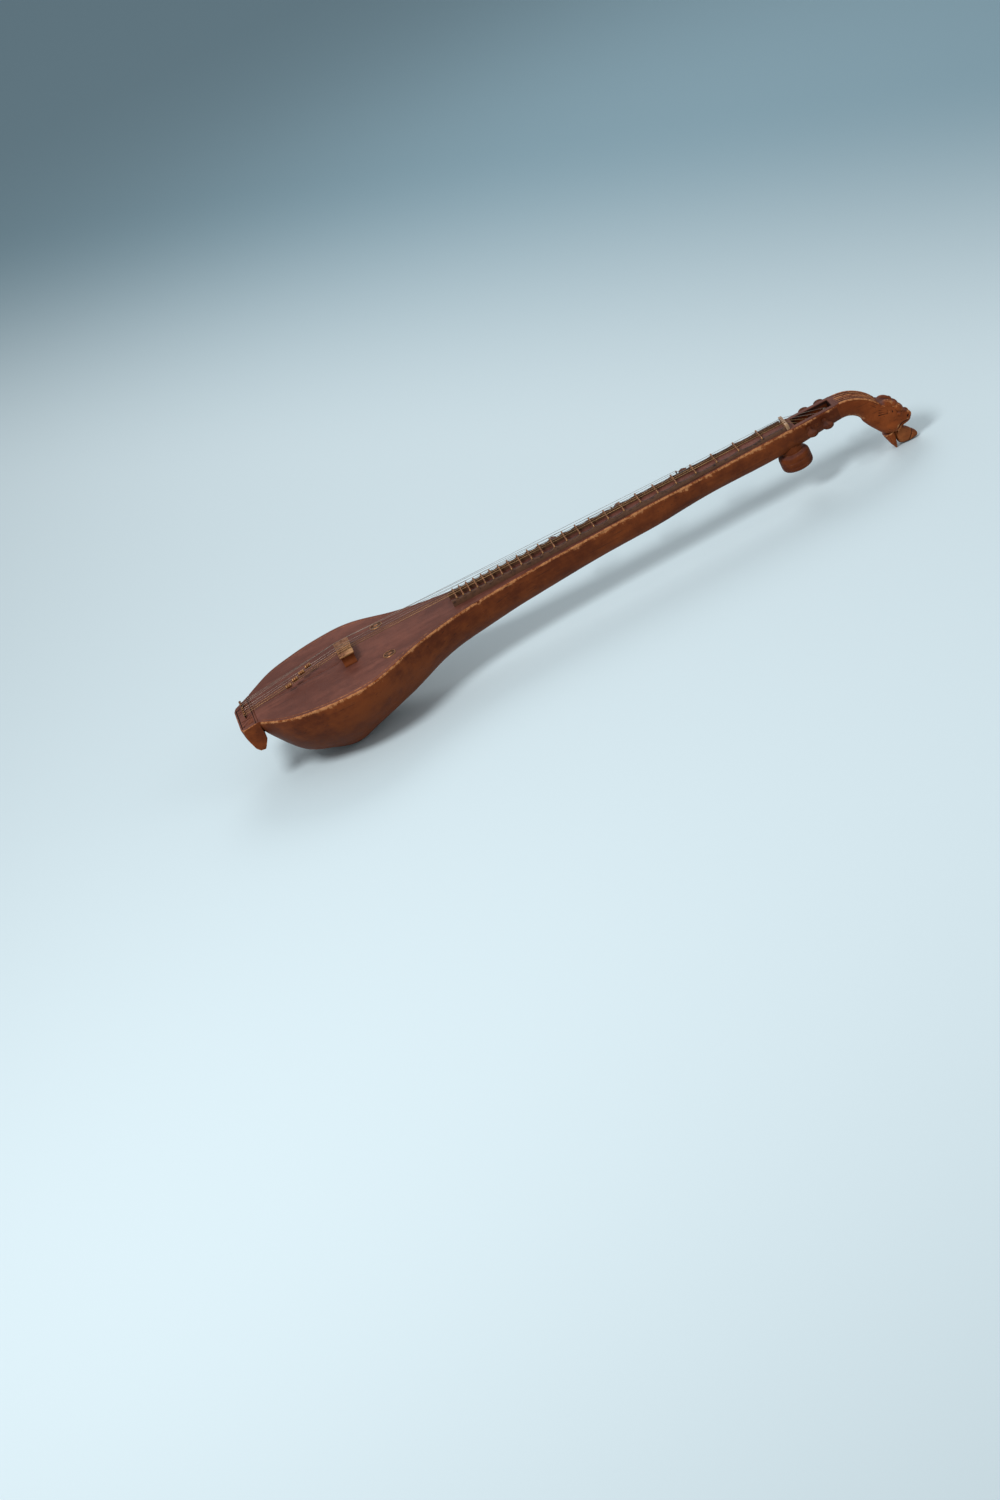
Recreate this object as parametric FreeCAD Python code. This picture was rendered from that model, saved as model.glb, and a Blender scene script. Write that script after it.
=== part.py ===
import FreeCAD, Part
import math
import os
from FreeCAD import Vector

# A long-necked South Indian lute, a veena, lying on the flat under its bowl with its strings up.
#
# Frame: +X runs along the strings from the tail to the carved beast head, +Y is the side of the
# drone strings, and +Z is up out of the soundboard. The origin is the middle of the flat under
# the bowl. A station is a length along the instrument, measured from its tail end. All sizes are
# in millimetres.

# ---------------------------------------------------------------- driving dimensions
BOWL_WIDTH = 282.0
BOWL_DEPTH = 136.0          # soundboard face down to the rest flat
BOWL_LENGTH = 359.0         # tail block to the root of the neck
NECK_WIDTH = 54.0
NECK_DEPTH = 45.0
SCALE_LENGTH = 865.0        # bridge to nut, the sounding length of a main string
TAIL_LENGTH = 36.0
REST_STATION = 165.0
BRIDGE_STATION = 225.0
NECK_JOINT = 75.0           # root of the neck to the glued joint of bowl and neck

BOARD_THICKNESS = 4.0
BOWL_WALL = 7.0
BOWL_FLOOR = 14.0
NECK_WALL = 6.0
NECK_FLOOR = 8.0

TAIL_HALF_WIDTH = 50.0
TAIL_HOOK_DEPTH = 55.0
TAIL_TOP_DROP = 8.0
TAIL_NOTCH_DEPTH = 36.0

MAIN_STRING_RADII = (0.55, 0.45, 0.35, 0.30)
DRONE_STRING_RADII = (0.30, 0.30, 0.30)
SPACING_AT_BRIDGE = 9.0
SPACING_AT_NUT = 7.5
PIN_RADIUS = 1.5
PIN_STATION = 18.0
PIN_SEAT = 7.0
PIN_STANDS = 2.5            # pin top above the string that hooks on it
PIN_HEAD = (1.7, 1.2)       # lower and upper radius of a pin's head, as shares of the pin's
STRING_AT_PIN = 2.5         # string above the soundboard plane at the pin
DRONE_PIN_Y = (26.0, 33.0, 40.0)

BRIDGE_LENGTH = 24.0
BRIDGE_WIDTH = 64.0
BRIDGE_HEIGHT = 19.0
BRIDGE_PLATE = 3.0
BRIDGE_LIP = 2.0            # brass plate past the wood all round
BRIDGE_ARCH = 12.0          # height of the opening between the feet
BRIDGE_FOOT = 14.0
DRONE_ARCH_RADIUS = 20.0
DRONE_ARCH_THICK = 3.0
DRONE_ARCH_GAP = 0.1        # between the bridge's plate and the drone arch
DRONE_BRIDGE_Y = (3.4, 8.1, 12.9)    # past the start of the drone arch

FRET_COUNT = 24
FRET_RADIUS = 1.6
FRET_HALF_LENGTH = 22.0
FRET_TOP_AT_NUT = 9.5
FRET_TOP_AT_BODY = 15.0
LEDGE_INNER = 15.0
LEDGE_OUTER = 21.5
LEDGE_PAST_FRET = 11.0
NUT_THICK = 6.0
NUT_HEIGHT = 11.0
NUT_HALF_WIDTH = 23.0
NUT_TO_BOX = 8.0

PEG_BOX_LENGTH = 84.0
PEG_CAVITY_WALL = 6.0       # end walls of the cavity
PEG_CAVITY_WIDTH = 29.0
PEG_CAVITY_DEPTH = 24.0
PEG_DROP = 15.0             # main peg axes under the soundboard plane
PEG_RADIUS = 3.6
PEG_FIT = 0.05              # running clearance all round a peg
PEG_SPACING = 15.0
PEG_FIRST = 18.0            # first peg past the front wall of the cavity
PEG_OUT = 37.0              # peg head past its wall
PEG_HEAD_RADIUS = 10.0
PEG_HEAD_HALF_FLAT = 5.0
COLLAR_GAP = 0.4
PEG_END_INSET = 2.0         # inner end of a main peg inside the far wall's face
WINDING_THICK = 1.0
WINDING_WIDTH = 4.5
STRING_GAP = 0.3            # free space between a string's end and its winding

DRONE_PEG_STATIONS = (640.0, 770.0, 900.0)
DRONE_PEG_DROP = 13.0
DRONE_PEG_RADIUS = 3.2
DRONE_PEG_OUT = 45.0
DRONE_PEG_HEAD_RADIUS = 8.5
DRONE_WINDING_START = 3.5
DRONE_WINDING_WIDTH = 5.0
DRONE_POST_BACK = 15.0      # post ahead of its peg, towards the bridge
DRONE_POST_RADIUS = 1.6
DRONE_POST_SHARE = 0.6      # of the way from the fret ledge to the edge of the neck
DRONE_POST_HEIGHTS = (5.5, 8.0, 10.5)
PEG_BLOCK_HALF_LENGTH = 11.0
PEG_BLOCK_DEPTH = 28.0
PEG_BLOCK_INNER = 5.0
PEG_BLOCK_CLEAR = 1.0       # a drone peg's inner end from the inner face of its block

TUNER_RADIUS = 4.0
TUNER_LENGTH = 12.0
TUNER_FIT = 0.06
TUNER_FIRST = 110.0
TUNER_STEP = 15.0

RESONATOR_BEFORE_NUT = 7.0
RESONATOR_RADIUS = 29.0
RESONATOR_NECK_RADIUS = 21.0
RESONATOR_TOP = 48.0        # under the soundboard plane
RESONATOR_HEIGHT = 30.0
RESONATOR_WALL = 4.0
RESONATOR_COVER = 2.0
RESONATOR_COVER_INSET = 1.0
RESONATOR_COLLAR = 14.0     # how far up the collar is cut from, to seat on the round neck
RESONATOR_STEP = 1.0        # the collar's radius inside that of the resonator's neck
RESONATOR_FLOOR = 0.6       # flat of the hollow's floor, as a share of its radius
STUD_RADIUS = 4.0
STUD_REACH = 16.0
STUD_NUT_RADIUS = 8.0
STUD_NUT_HEIGHT = 4.0

SCROLL_STRAIGHT = 4.0
SCROLL_RADIUS = 80.0        # top face of the scroll round its elbow
SCROLL_TURN = 60.0          # degrees
SCROLL_END_DEPTH = 43.0
SCROLL_STEPS = 4
SCROLL_HALF_WIDTH = 24.0
HEAD_REACH = 120.0          # elbow centre to the snout
HEAD_HALF_WIDTH = 24.0
JAW_HALF_WIDTH = 14.0
TONGUE_HALF_WIDTH = 11.0
EAR_RADIUS = 8.0
EYE_RADIUS = 5.5

BRACE_STATIONS = (150.0, 300.0)
BRACE_WIDTH = 9.0
BRACE_HEIGHT = 11.0
ROSETTE_STATION = 292.0
ROSETTE_Y = 66.0
ROSETTE_RADIUS = 12.0
ROSETTE_THICK = 1.2
ROSETTE_HOLE = 1.3
ROSETTE_HOLES = 8
ROSETTE_RING = 0.6          # ring of holes, as a share of the disc's radius
SOLID_END = 48.0            # solid wood at the end of the hollow neck

# Each row: share of the bowl's length, share of its half width, share of its depth, and the
# squareness of the section, where 2 is an ellipse and more is boxier.
BOWL_PROFILE = (
    (0.000, 0.43, 0.28, 2.2),
    (0.040, 0.54, 0.47, 2.0),
    (0.110, 0.71, 0.73, 1.9),
    (0.220, 0.86, 0.91, 1.9),
    (0.290, 0.92, 0.98, 1.9),
    (0.360, 0.965, 1.03, 1.9),
    (0.430, 0.99, 1.01, 1.9),
    (0.490, 1.00, 0.95, 1.9),
    (0.625, 0.93, 0.85, 1.9),
    (0.765, 0.71, 0.77, 1.9),
    (0.875, 0.56, 0.67, 2.0),
)
# The same for the neck, as shares of its own length, half width and depth. The fifth and sixth
# numbers widen and deepen it by a share of how much larger the end of the bowl is.
NECK_PROFILE = (
    (0.000, 1.00, 1.00, 2.1, 0.675, 0.722),
    (0.057, 1.00, 1.00, 2.2, 0.442, 0.585),
    (0.121, 1.00, 1.00, 2.3, 0.286, 0.478),
    (0.210, 1.00, 1.00, 2.4, 0.156, 0.351),
    (0.311, 1.00, 1.00, 2.4, 0.073, 0.254),
    (0.438, 1.00, 1.00, 2.5, 0.021, 0.166),
    (0.591, 1.00, 1.00, 2.5, 0.000, 0.078),
    (0.769, 0.985, 1.00, 2.6, 0.000, 0.010),
    (0.896, 0.97, 0.95, 2.6, 0.000, 0.000),
    (1.000, 0.93, 0.80, 2.6, 0.000, 0.000),
)
SECTION_POINTS = 13
# Side of the tail block: share of its length, share of its hook's depth.
TAIL_HOOK = ((0.82, 0.86), (0.68, 1.00), (0.42, 1.00), (0.25, 0.88), (0.06, 0.45))
TAIL_CORNER = (0.12, 0.20)  # cut off the rear corners: share of the length, of the half width
# A peg from its collar to its tip: share of a radius, share of the way. The stem's radii are
# shares of the shaft's, and the head's are shares of the head's.
PEG_STEM = ((1.55, 0.00), (1.55, 0.08), (1.15, 0.12), (1.15, 0.26))
PEG_HEAD = ((0.70, 0.38), (1.00, 0.60), (0.92, 0.80), (0.50, 1.00))
PEG_GRIP_START = 0.30
# Outside of the upper resonator from its neck down: share of its radius, share of its height.
RESONATOR_PROFILE = ((0.92, 0.10), (1.00, 0.30), (1.00, 0.83), (0.93, 1.00))
# Side outlines of the head, as shares of its reach and of its drop to the rest plane.
HEAD_FACE = ((0.72, 0.05), (0.84, 0.18), (0.90, 0.31), (0.935, 0.48), (0.99, 0.615),
             (0.985, 0.70), (0.92, 0.74), (0.85, 0.73), (0.625, 0.69), (0.45, 0.69),
             (0.385, 0.50))
HEAD_LAYERS = ((-1.0, 0.86), (-0.7, 1.0), (0.7, 1.0), (1.0, 0.86))  # share of width, of outline
JAW_SIDE = ((0.46, 0.69), (0.60, 0.69), (0.617, 0.81), (0.625, 1.0), (0.575, 1.0), (0.51, 0.875))
TONGUE_SIDE = ((0.642, 0.66), (0.835, 0.66), (0.942, 0.835), (0.96, 0.905), (0.92, 0.965),
               (0.825, 0.98), (0.717, 0.915), (0.642, 0.79))

# ---------------------------------------------------------------- places worked out
TOP = BOWL_DEPTH
NUT_STATION = BRIDGE_STATION + SCALE_LENGTH
PEG_BOX_START = NUT_STATION + NUT_TO_BOX
PEG_BOX_END = PEG_BOX_START + PEG_BOX_LENGTH
NECK_ROOT = TAIL_LENGTH + BOWL_LENGTH
JOINT_STATION = NECK_ROOT + NECK_JOINT
PEG_CAVITY_START = PEG_BOX_START + PEG_CAVITY_WALL
PEG_CAVITY_END = PEG_BOX_END - PEG_CAVITY_WALL
HOLLOW_END = PEG_BOX_START - SOLID_END
RESONATOR_STATION = NUT_STATION - RESONATOR_BEFORE_NUT
PLATE_TOP = TOP + BRIDGE_HEIGHT + BRIDGE_PLATE
NUT_TOP = TOP + NUT_HEIGHT
ELBOW_STATION = PEG_BOX_END + SCROLL_STRAIGHT
UP = Vector(0, 0, 1)
ALONG = Vector(1, 0, 0)


def at(station, y=0.0, z=0.0):
    """The point at a station, in the part's own frame."""
    return Vector(station - REST_STATION, y, z)


def block(start, end, y_low, y_high, z_low, z_high):
    """A box between two stations, two sides and two heights."""
    corner = at(start, y_low, z_low)
    return Part.makeBox(end - start, y_high - y_low, z_high - z_low, corner)


def extrude_side(points, half_width, y_middle=0.0):
    """A side outline of (station, z) points, as thick as twice the half width."""
    corners = [at(s, y_middle - half_width, z) for s, z in points]
    face = Part.Face(Part.makePolygon(corners + corners[:1]))
    return face.extrude(Vector(0, 2 * half_width, 0))


def signed_power(value, power):
    return math.copysign(abs(value) ** power, value)


def section_wire(half_width, depth, squareness):
    """Half a superellipse in the YZ plane under z = 0, closed by its straight top edge."""
    power = 2.0 / squareness
    points = []
    for i in range(SECTION_POINTS):
        angle = math.pi * i / (SECTION_POINTS - 1)
        y = -half_width * signed_power(math.cos(angle), power)
        z = -depth * abs(math.sin(angle)) ** power
        points.append(Vector(0, y, z))
    points[0] = Vector(0, -half_width, 0)
    points[-1] = Vector(0, half_width, 0)
    curve = Part.BSplineCurve()
    curve.interpolate(Points=points, InitialTangent=-UP, FinalTangent=UP)
    return Part.Wire([curve.toShape(), Part.makeLine(points[-1], points[0])])


def placed_wire(sizes, station):
    wire = section_wire(*sizes)
    wire.translate(at(station, 0, TOP))
    return wire


def body_sections():
    """Station, half width, depth and squareness from the tail block to the end of the peg box."""
    rows = []
    for share, width, depth, squareness in BOWL_PROFILE:
        station = TAIL_LENGTH + share * BOWL_LENGTH
        rows.append((station, width * BOWL_WIDTH / 2, depth * BOWL_DEPTH, squareness))
    neck_length = PEG_BOX_END - NECK_ROOT
    wider = rows[-1][1] - NECK_WIDTH / 2
    deeper = rows[-1][2] - NECK_DEPTH
    for share, width, depth, squareness, flare, drop in NECK_PROFILE:
        station = NECK_ROOT + share * neck_length
        half_width = width * NECK_WIDTH / 2 + flare * wider
        rows.append((station, half_width, depth * NECK_DEPTH + drop * deeper, squareness))
    return rows


def make_outer():
    wires = [placed_wire(row[1:], row[0]) for row in body_sections()]
    return Part.makeLoft(wires, True, False)


def make_hollow():
    """The air inside the bowl and the neck, as one solid up to the soundboard plane."""
    wires = []
    for station, half_width, depth, squareness in body_sections()[2:-1]:
        in_bowl = station < NECK_ROOT
        wall = BOWL_WALL if in_bowl else NECK_WALL
        floor = BOWL_FLOOR if in_bowl else NECK_FLOOR
        wires.append(placed_wire((half_width - wall, depth - floor, squareness), station))
    hollow = Part.makeLoft(wires, True, False)
    return hollow.cut(block(HOLLOW_END, PEG_BOX_END, -NECK_WIDTH, NECK_WIDTH, 0, TOP))


def half_width_at(station):
    """Half the width of the body at its top edge."""
    wires = OUTER.slice(ALONG, at(station).x)
    return max(vertex.Y for wire in wires for vertex in wire.Vertexes)


def fret_station(number):
    return NUT_STATION - SCALE_LENGTH * (1 - 2 ** (-number / 12))


def fret_top(station):
    """Height of the line that the fret tops lie on."""
    share = (NUT_STATION - station) / (NUT_STATION - fret_station(FRET_COUNT))
    return TOP + FRET_TOP_AT_NUT + share * (FRET_TOP_AT_BODY - FRET_TOP_AT_NUT)


def string_offsets(count, spacing):
    return [(i - (count - 1) / 2) * spacing for i in range(count)]


# ---------------------------------------------------------------- wooden body
def body_part(start, end, z_low, z_high):
    """The stretch of the outer shape between two stations and two heights."""
    return OUTER.common(block(start, end, -BOWL_WIDTH, BOWL_WIDTH, z_low, z_high))


def make_bowl():
    shell = body_part(TAIL_LENGTH, JOINT_STATION, 0, TOP - BOARD_THICKNESS)
    return shell.cut(HOLLOW)


def make_neck():
    shell = body_part(JOINT_STATION, PEG_BOX_START, 0, TOP - BOARD_THICKNESS)
    neck = shell.cut(HOLLOW)
    for station in DRONE_PEG_STATIONS:
        neck = neck.cut(drone_peg_bore(station))
    return neck.cut(stud_rod(STUD_RADIUS + PEG_FIT))


def make_soundboard():
    return body_part(TAIL_LENGTH, JOINT_STATION, TOP - BOARD_THICKNESS, TOP)


def make_fingerboard():
    return body_part(JOINT_STATION, PEG_BOX_START, TOP - BOARD_THICKNESS, TOP)


def make_soundboard_braces():
    bars = []
    for station in BRACE_STATIONS:
        low = TOP - BOARD_THICKNESS - BRACE_HEIGHT
        bar = block(station - BRACE_WIDTH / 2, station + BRACE_WIDTH / 2, -BOWL_WIDTH,
                    BOWL_WIDTH, low, TOP - BOARD_THICKNESS)
        bars.append(bar.common(HOLLOW))
    return Part.makeCompound(bars)


def make_tail_block():
    """The hooked wooden end that the strings are pinned to."""
    hook = [(a * TAIL_LENGTH, TOP - b * TAIL_HOOK_DEPTH) for a, b in TAIL_HOOK]
    outline = [(0, TOP - TAIL_TOP_DROP), (TAIL_LENGTH, TOP),
               (TAIL_LENGTH, TOP - TAIL_NOTCH_DEPTH)] + hook
    root = BOWL_PROFILE[0][1] * BOWL_WIDTH / 2
    side = extrude_side(outline, root)
    back = TAIL_CORNER[0] * TAIL_LENGTH
    inner = (1 - TAIL_CORNER[1]) * TAIL_HALF_WIDTH
    plan = [(0, -inner), (back, -TAIL_HALF_WIDTH), (TAIL_LENGTH, -root), (TAIL_LENGTH, root),
            (back, TAIL_HALF_WIDTH), (0, inner)]
    corners = [at(s, y, TOP - 2 * TAIL_HOOK_DEPTH) for s, y in plan]
    prism = Part.Face(Part.makePolygon(corners + corners[:1]))
    tail = side.common(prism.extrude(Vector(0, 0, 3 * TAIL_HOOK_DEPTH)))
    for y in all_pin_places():
        tail = tail.cut(pin_rod(y))
    return tail


# ---------------------------------------------------------------- string holders
def all_pin_places():
    return string_offsets(len(MAIN_STRING_RADII), SPACING_AT_BRIDGE) + list(DRONE_PIN_Y)


def pin_rod(y):
    top = TOP + STRING_AT_PIN + PIN_STANDS
    bottom = TOP - TAIL_TOP_DROP * (1 - PIN_STATION / TAIL_LENGTH) - PIN_SEAT
    return Part.makeCylinder(PIN_RADIUS, top - bottom, at(PIN_STATION, y, bottom), UP)


def make_string_pins():
    pins = []
    for y in all_pin_places():
        rod = pin_rod(y)
        head_base = at(PIN_STATION, y, rod.BoundBox.ZMax)
        lower, upper = (share * PIN_RADIUS for share in PIN_HEAD)
        head = Part.makeCone(lower, upper, PIN_RADIUS, head_base, UP)
        pins.append(rod.fuse(head))
    return Part.makeCompound(pins)


def make_bridge():
    half_length = BRIDGE_LENGTH / 2
    half_width = BRIDGE_WIDTH / 2
    wood = block(BRIDGE_STATION - half_length, BRIDGE_STATION + half_length,
                 -half_width, half_width, TOP, TOP + BRIDGE_HEIGHT)
    gap = half_width - BRIDGE_FOOT
    arch_top = TOP + BRIDGE_ARCH
    side = BRIDGE_STATION - half_length
    rise = Part.Arc(at(side, -gap, TOP), at(side, 0, arch_top), at(side, gap, TOP)).toShape()
    arch = Part.Face(Part.Wire([rise, Part.makeLine(at(side, gap, TOP), at(side, -gap, TOP))]))
    return wood.cut(arch.extrude(ALONG * BRIDGE_LENGTH))


def make_bridge_plate():
    half_length = BRIDGE_LENGTH / 2 + BRIDGE_LIP
    half_width = BRIDGE_WIDTH / 2 + BRIDGE_LIP
    plate = block(BRIDGE_STATION - half_length, BRIDGE_STATION + half_length,
                  -half_width, half_width, PLATE_TOP - BRIDGE_PLATE, PLATE_TOP)
    uprights = [e for e in plate.Edges if abs(e.tangentAt(e.FirstParameter).z) > 0.9]
    return plate.makeFillet(BRIDGE_LIP, uprights)


def drone_arch_start():
    return BRIDGE_WIDTH / 2 + BRIDGE_LIP + DRONE_ARCH_GAP


def make_drone_bridge():
    """A quarter ring of brass that springs from the side of the main bridge."""
    start = at(BRIDGE_STATION - BRIDGE_LENGTH / 2, drone_arch_start(), TOP)
    outer = Part.makeCylinder(DRONE_ARCH_RADIUS, BRIDGE_LENGTH, start, ALONG)
    inner = Part.makeCylinder(DRONE_ARCH_RADIUS - DRONE_ARCH_THICK, BRIDGE_LENGTH, start, ALONG)
    quarter = Part.makeBox(BRIDGE_LENGTH, DRONE_ARCH_RADIUS, DRONE_ARCH_RADIUS, start)
    return outer.cut(inner).common(quarter)


def make_nut():
    body = block(NUT_STATION - NUT_THICK / 2, NUT_STATION + NUT_THICK / 2,
                 -NUT_HALF_WIDTH, NUT_HALF_WIDTH, TOP, NUT_TOP)
    flanks = [e for e in body.Edges
              if abs(e.tangentAt(e.FirstParameter).x) > 0.9 and e.CenterOfMass.z > NUT_TOP - 1]
    nut = body.makeFillet(NUT_THICK / 3, flanks)
    for i, radius in enumerate(MAIN_STRING_RADII):
        nut = nut.cut(string_solid(main_string_points(i), radius))
    return nut


# ---------------------------------------------------------------- frets
def fret_rod(number):
    station = fret_station(number)
    centre = at(station, -FRET_HALF_LENGTH, fret_top(station) - FRET_RADIUS)
    return Part.makeCylinder(FRET_RADIUS, 2 * FRET_HALF_LENGTH, centre, Vector(0, 1, 0))


def make_ledge(side):
    """A ledge of black wax that carries one end of every fret."""
    start = fret_station(FRET_COUNT) - LEDGE_PAST_FRET
    end = NUT_STATION - NUT_THICK / 2 - FRET_RADIUS
    outline = [(start, TOP), (end, TOP), (end, fret_top(end) - FRET_RADIUS),
               (start, fret_top(start) - FRET_RADIUS)]
    middle = side * (LEDGE_INNER + LEDGE_OUTER) / 2
    ledge = extrude_side(outline, (LEDGE_OUTER - LEDGE_INNER) / 2, middle)
    return ledge.cut(FRETS)


# ---------------------------------------------------------------- strings
def string_solid(points, radius):
    """A string through its points, with an eye round the pin at its first one."""
    start = points[0] + (points[1] - points[0]).normalize() * (PIN_RADIUS + radius)
    path = Part.makePolygon([start] + points[1:])
    ring = Part.Wire([Part.makeCircle(radius, start, points[1] - points[0])])
    string = path.makePipeShell([ring], True, False, 1)
    eye = Part.makeTorus(PIN_RADIUS + radius, radius, points[0], UP)
    return string.fuse(eye)


def main_string_points(i):
    radius = MAIN_STRING_RADII[i]
    y_bridge = string_offsets(len(MAIN_STRING_RADII), SPACING_AT_BRIDGE)[i]
    y_nut = string_offsets(len(MAIN_STRING_RADII), SPACING_AT_NUT)[i]
    half = BRIDGE_LENGTH / 2 + BRIDGE_LIP
    wound = PEG_RADIUS + WINDING_THICK + STRING_GAP + radius
    return [
        at(PIN_STATION, y_bridge, TOP + STRING_AT_PIN),
        at(BRIDGE_STATION - half, y_bridge, PLATE_TOP + radius),
        at(BRIDGE_STATION + half, y_bridge, PLATE_TOP + radius),
        at(NUT_STATION, y_nut, NUT_TOP + radius),
        at(main_peg_station(i), y_nut, TOP - PEG_DROP + wound),
    ]


def drone_string_points(i):
    """Drone i runs to peg i; the nearest peg has the outermost and lowest string."""
    radius = DRONE_STRING_RADII[i]
    place = len(DRONE_STRING_RADII) - 1 - i
    y_past = DRONE_BRIDGE_Y[place]
    y_bridge = drone_arch_start() + y_past
    z_bridge = TOP + math.sqrt((DRONE_ARCH_RADIUS + radius) ** 2 - y_past ** 2)
    peg = DRONE_PEG_STATIONS[i]
    edge = half_width_at(peg)
    wound = DRONE_PEG_RADIUS + WINDING_THICK + STRING_GAP + radius
    half = BRIDGE_LENGTH / 2
    return [
        at(PIN_STATION, DRONE_PIN_Y[place], TOP + STRING_AT_PIN),
        at(BRIDGE_STATION - half, y_bridge, z_bridge),
        at(BRIDGE_STATION + half, y_bridge, z_bridge),
        at(*drone_post_place(i), TOP + DRONE_POST_HEIGHTS[i] + radius),
        at(peg, edge + DRONE_WINDING_START + DRONE_WINDING_WIDTH / 2,
           TOP - DRONE_PEG_DROP + wound),
    ]


def drone_post_place(i):
    station = DRONE_PEG_STATIONS[i] - DRONE_POST_BACK
    return station, LEDGE_OUTER + DRONE_POST_SHARE * (half_width_at(station) - LEDGE_OUTER)


def make_drone_posts():
    posts = []
    for i, height in enumerate(DRONE_POST_HEIGHTS):
        station, y = drone_post_place(i)
        post = Part.makeCylinder(DRONE_POST_RADIUS, height, at(station, y, TOP), UP)
        posts.append(post.cut(string_solid(drone_string_points(i), DRONE_STRING_RADII[i])))
    return Part.makeCompound(posts)


def make_fine_tuner(i):
    """A bead that slides on the tail length of one main string."""
    points = main_string_points(i)
    way = (points[1] - points[0]).normalize()
    station = TUNER_FIRST + i * TUNER_STEP
    middle = points[0] + way * ((station - PIN_STATION) / way.x)
    base = middle - way * (TUNER_LENGTH / 2)
    bead = Part.makeCylinder(TUNER_RADIUS, TUNER_LENGTH, base, way)
    bead = bead.makeFillet(TUNER_RADIUS / 3, [bead.Edges[0], bead.Edges[2]])
    bore = MAIN_STRING_RADII[i] + TUNER_FIT
    return bead.cut(Part.makeCylinder(bore, 2 * TUNER_LENGTH, base - way * TUNER_LENGTH / 2, way))


# ---------------------------------------------------------------- pegs
def main_peg_station(i):
    return PEG_CAVITY_START + PEG_FIRST + i * PEG_SPACING


def main_peg_side(i):
    return -1 if i % 2 == 0 else 1


def main_peg_bore(i):
    station = main_peg_station(i)
    start = at(station, -NECK_WIDTH, TOP - PEG_DROP)
    return Part.makeCylinder(PEG_RADIUS + PEG_FIT, 2 * NECK_WIDTH, start, Vector(0, 1, 0))


def drone_peg_bore(station):
    start = at(station, 0, TOP - DRONE_PEG_DROP)
    return Part.makeCylinder(DRONE_PEG_RADIUS + PEG_FIT, NECK_WIDTH, start, Vector(0, 1, 0))


def turned_peg(station, drop, side, inner, collar, tip, shaft, head):
    """A turned peg along Y, from its inner end past its collar to its flattened head."""
    length = tip - collar
    rows = [(0, inner), (shaft, inner), (shaft, collar)]
    rows += [(a * shaft, collar + b * length) for a, b in PEG_STEM]
    rows += [(a * head, collar + b * length) for a, b in PEG_HEAD]
    rows.append((0, tip))
    centre = at(station, 0, TOP - drop)
    corners = [centre + Vector(r, side * y, 0) for r, y in rows]
    face = Part.Face(Part.makePolygon(corners + corners[:1]))
    peg = face.revolve(centre, Vector(0, 1, 0), 360)
    reach = collar + PEG_GRIP_START * length
    low = min(side * reach, side * (tip + 1))
    grip = Part.makeBox(4 * head, tip + 1 - reach, 2 * PEG_HEAD_HALF_FLAT,
                        centre + Vector(-2 * head, low, -PEG_HEAD_HALF_FLAT))
    low = min(side * inner, side * reach)
    rest = Part.makeBox(4 * head, reach - inner, 4 * head,
                        centre + Vector(-2 * head, low, -2 * head))
    return peg.common(grip.fuse(rest))


def peg_collar(stations):
    """Where a collar clears the widest place of the wall behind it."""
    return max(half_width_at(s) for s in stations) + COLLAR_GAP


def make_main_peg(i):
    station = main_peg_station(i)
    collar = peg_collar((station - PEG_SPACING / 2, station))
    inner = PEG_END_INSET - half_width_at(station)
    return turned_peg(station, PEG_DROP, main_peg_side(i), inner, collar,
                      collar + PEG_OUT, PEG_RADIUS, PEG_HEAD_RADIUS)


def make_drone_peg(i):
    station = DRONE_PEG_STATIONS[i]
    edge = half_width_at(station)
    collar = edge + DRONE_WINDING_START + DRONE_WINDING_WIDTH + 1
    return turned_peg(station, DRONE_PEG_DROP, 1, PEG_BLOCK_INNER + PEG_BLOCK_CLEAR, collar,
                      edge + DRONE_PEG_OUT, DRONE_PEG_RADIUS, DRONE_PEG_HEAD_RADIUS)


def winding(station, drop, y_middle, width, shaft):
    """The turns of string on a peg, as one sleeve round its shaft."""
    start = at(station, y_middle - width / 2, TOP - drop)
    sleeve = Part.makeCylinder(shaft + WINDING_THICK, width, start, Vector(0, 1, 0))
    return sleeve.cut(Part.makeCylinder(shaft, width, start, Vector(0, 1, 0)))


def make_main_winding(i):
    y = string_offsets(len(MAIN_STRING_RADII), SPACING_AT_NUT)[i]
    return winding(main_peg_station(i), PEG_DROP, y, WINDING_WIDTH, PEG_RADIUS)


def make_drone_winding(i):
    station = DRONE_PEG_STATIONS[i]
    y = half_width_at(station) + DRONE_WINDING_START + DRONE_WINDING_WIDTH / 2
    return winding(station, DRONE_PEG_DROP, y, DRONE_WINDING_WIDTH, DRONE_PEG_RADIUS)


def make_peg_box():
    box = body_part(PEG_BOX_START, PEG_BOX_END, 0, TOP)
    half = PEG_CAVITY_WIDTH / 2
    box = box.cut(block(PEG_CAVITY_START, PEG_CAVITY_END, -half, half,
                        TOP - PEG_CAVITY_DEPTH, TOP + 1))
    for i in range(len(MAIN_STRING_RADII)):
        box = box.cut(main_peg_bore(i))
    return box


def make_peg_blocks():
    """Wood glued inside the neck's far wall, so that each drone peg has a long bore."""
    blocks = []
    for station in DRONE_PEG_STATIONS:
        wood = block(station - PEG_BLOCK_HALF_LENGTH, station + PEG_BLOCK_HALF_LENGTH,
                     PEG_BLOCK_INNER, NECK_WIDTH, TOP - PEG_BLOCK_DEPTH, TOP - BOARD_THICKNESS)
        blocks.append(wood.common(HOLLOW).cut(drone_peg_bore(station)))
    return Part.makeCompound(blocks)


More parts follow.
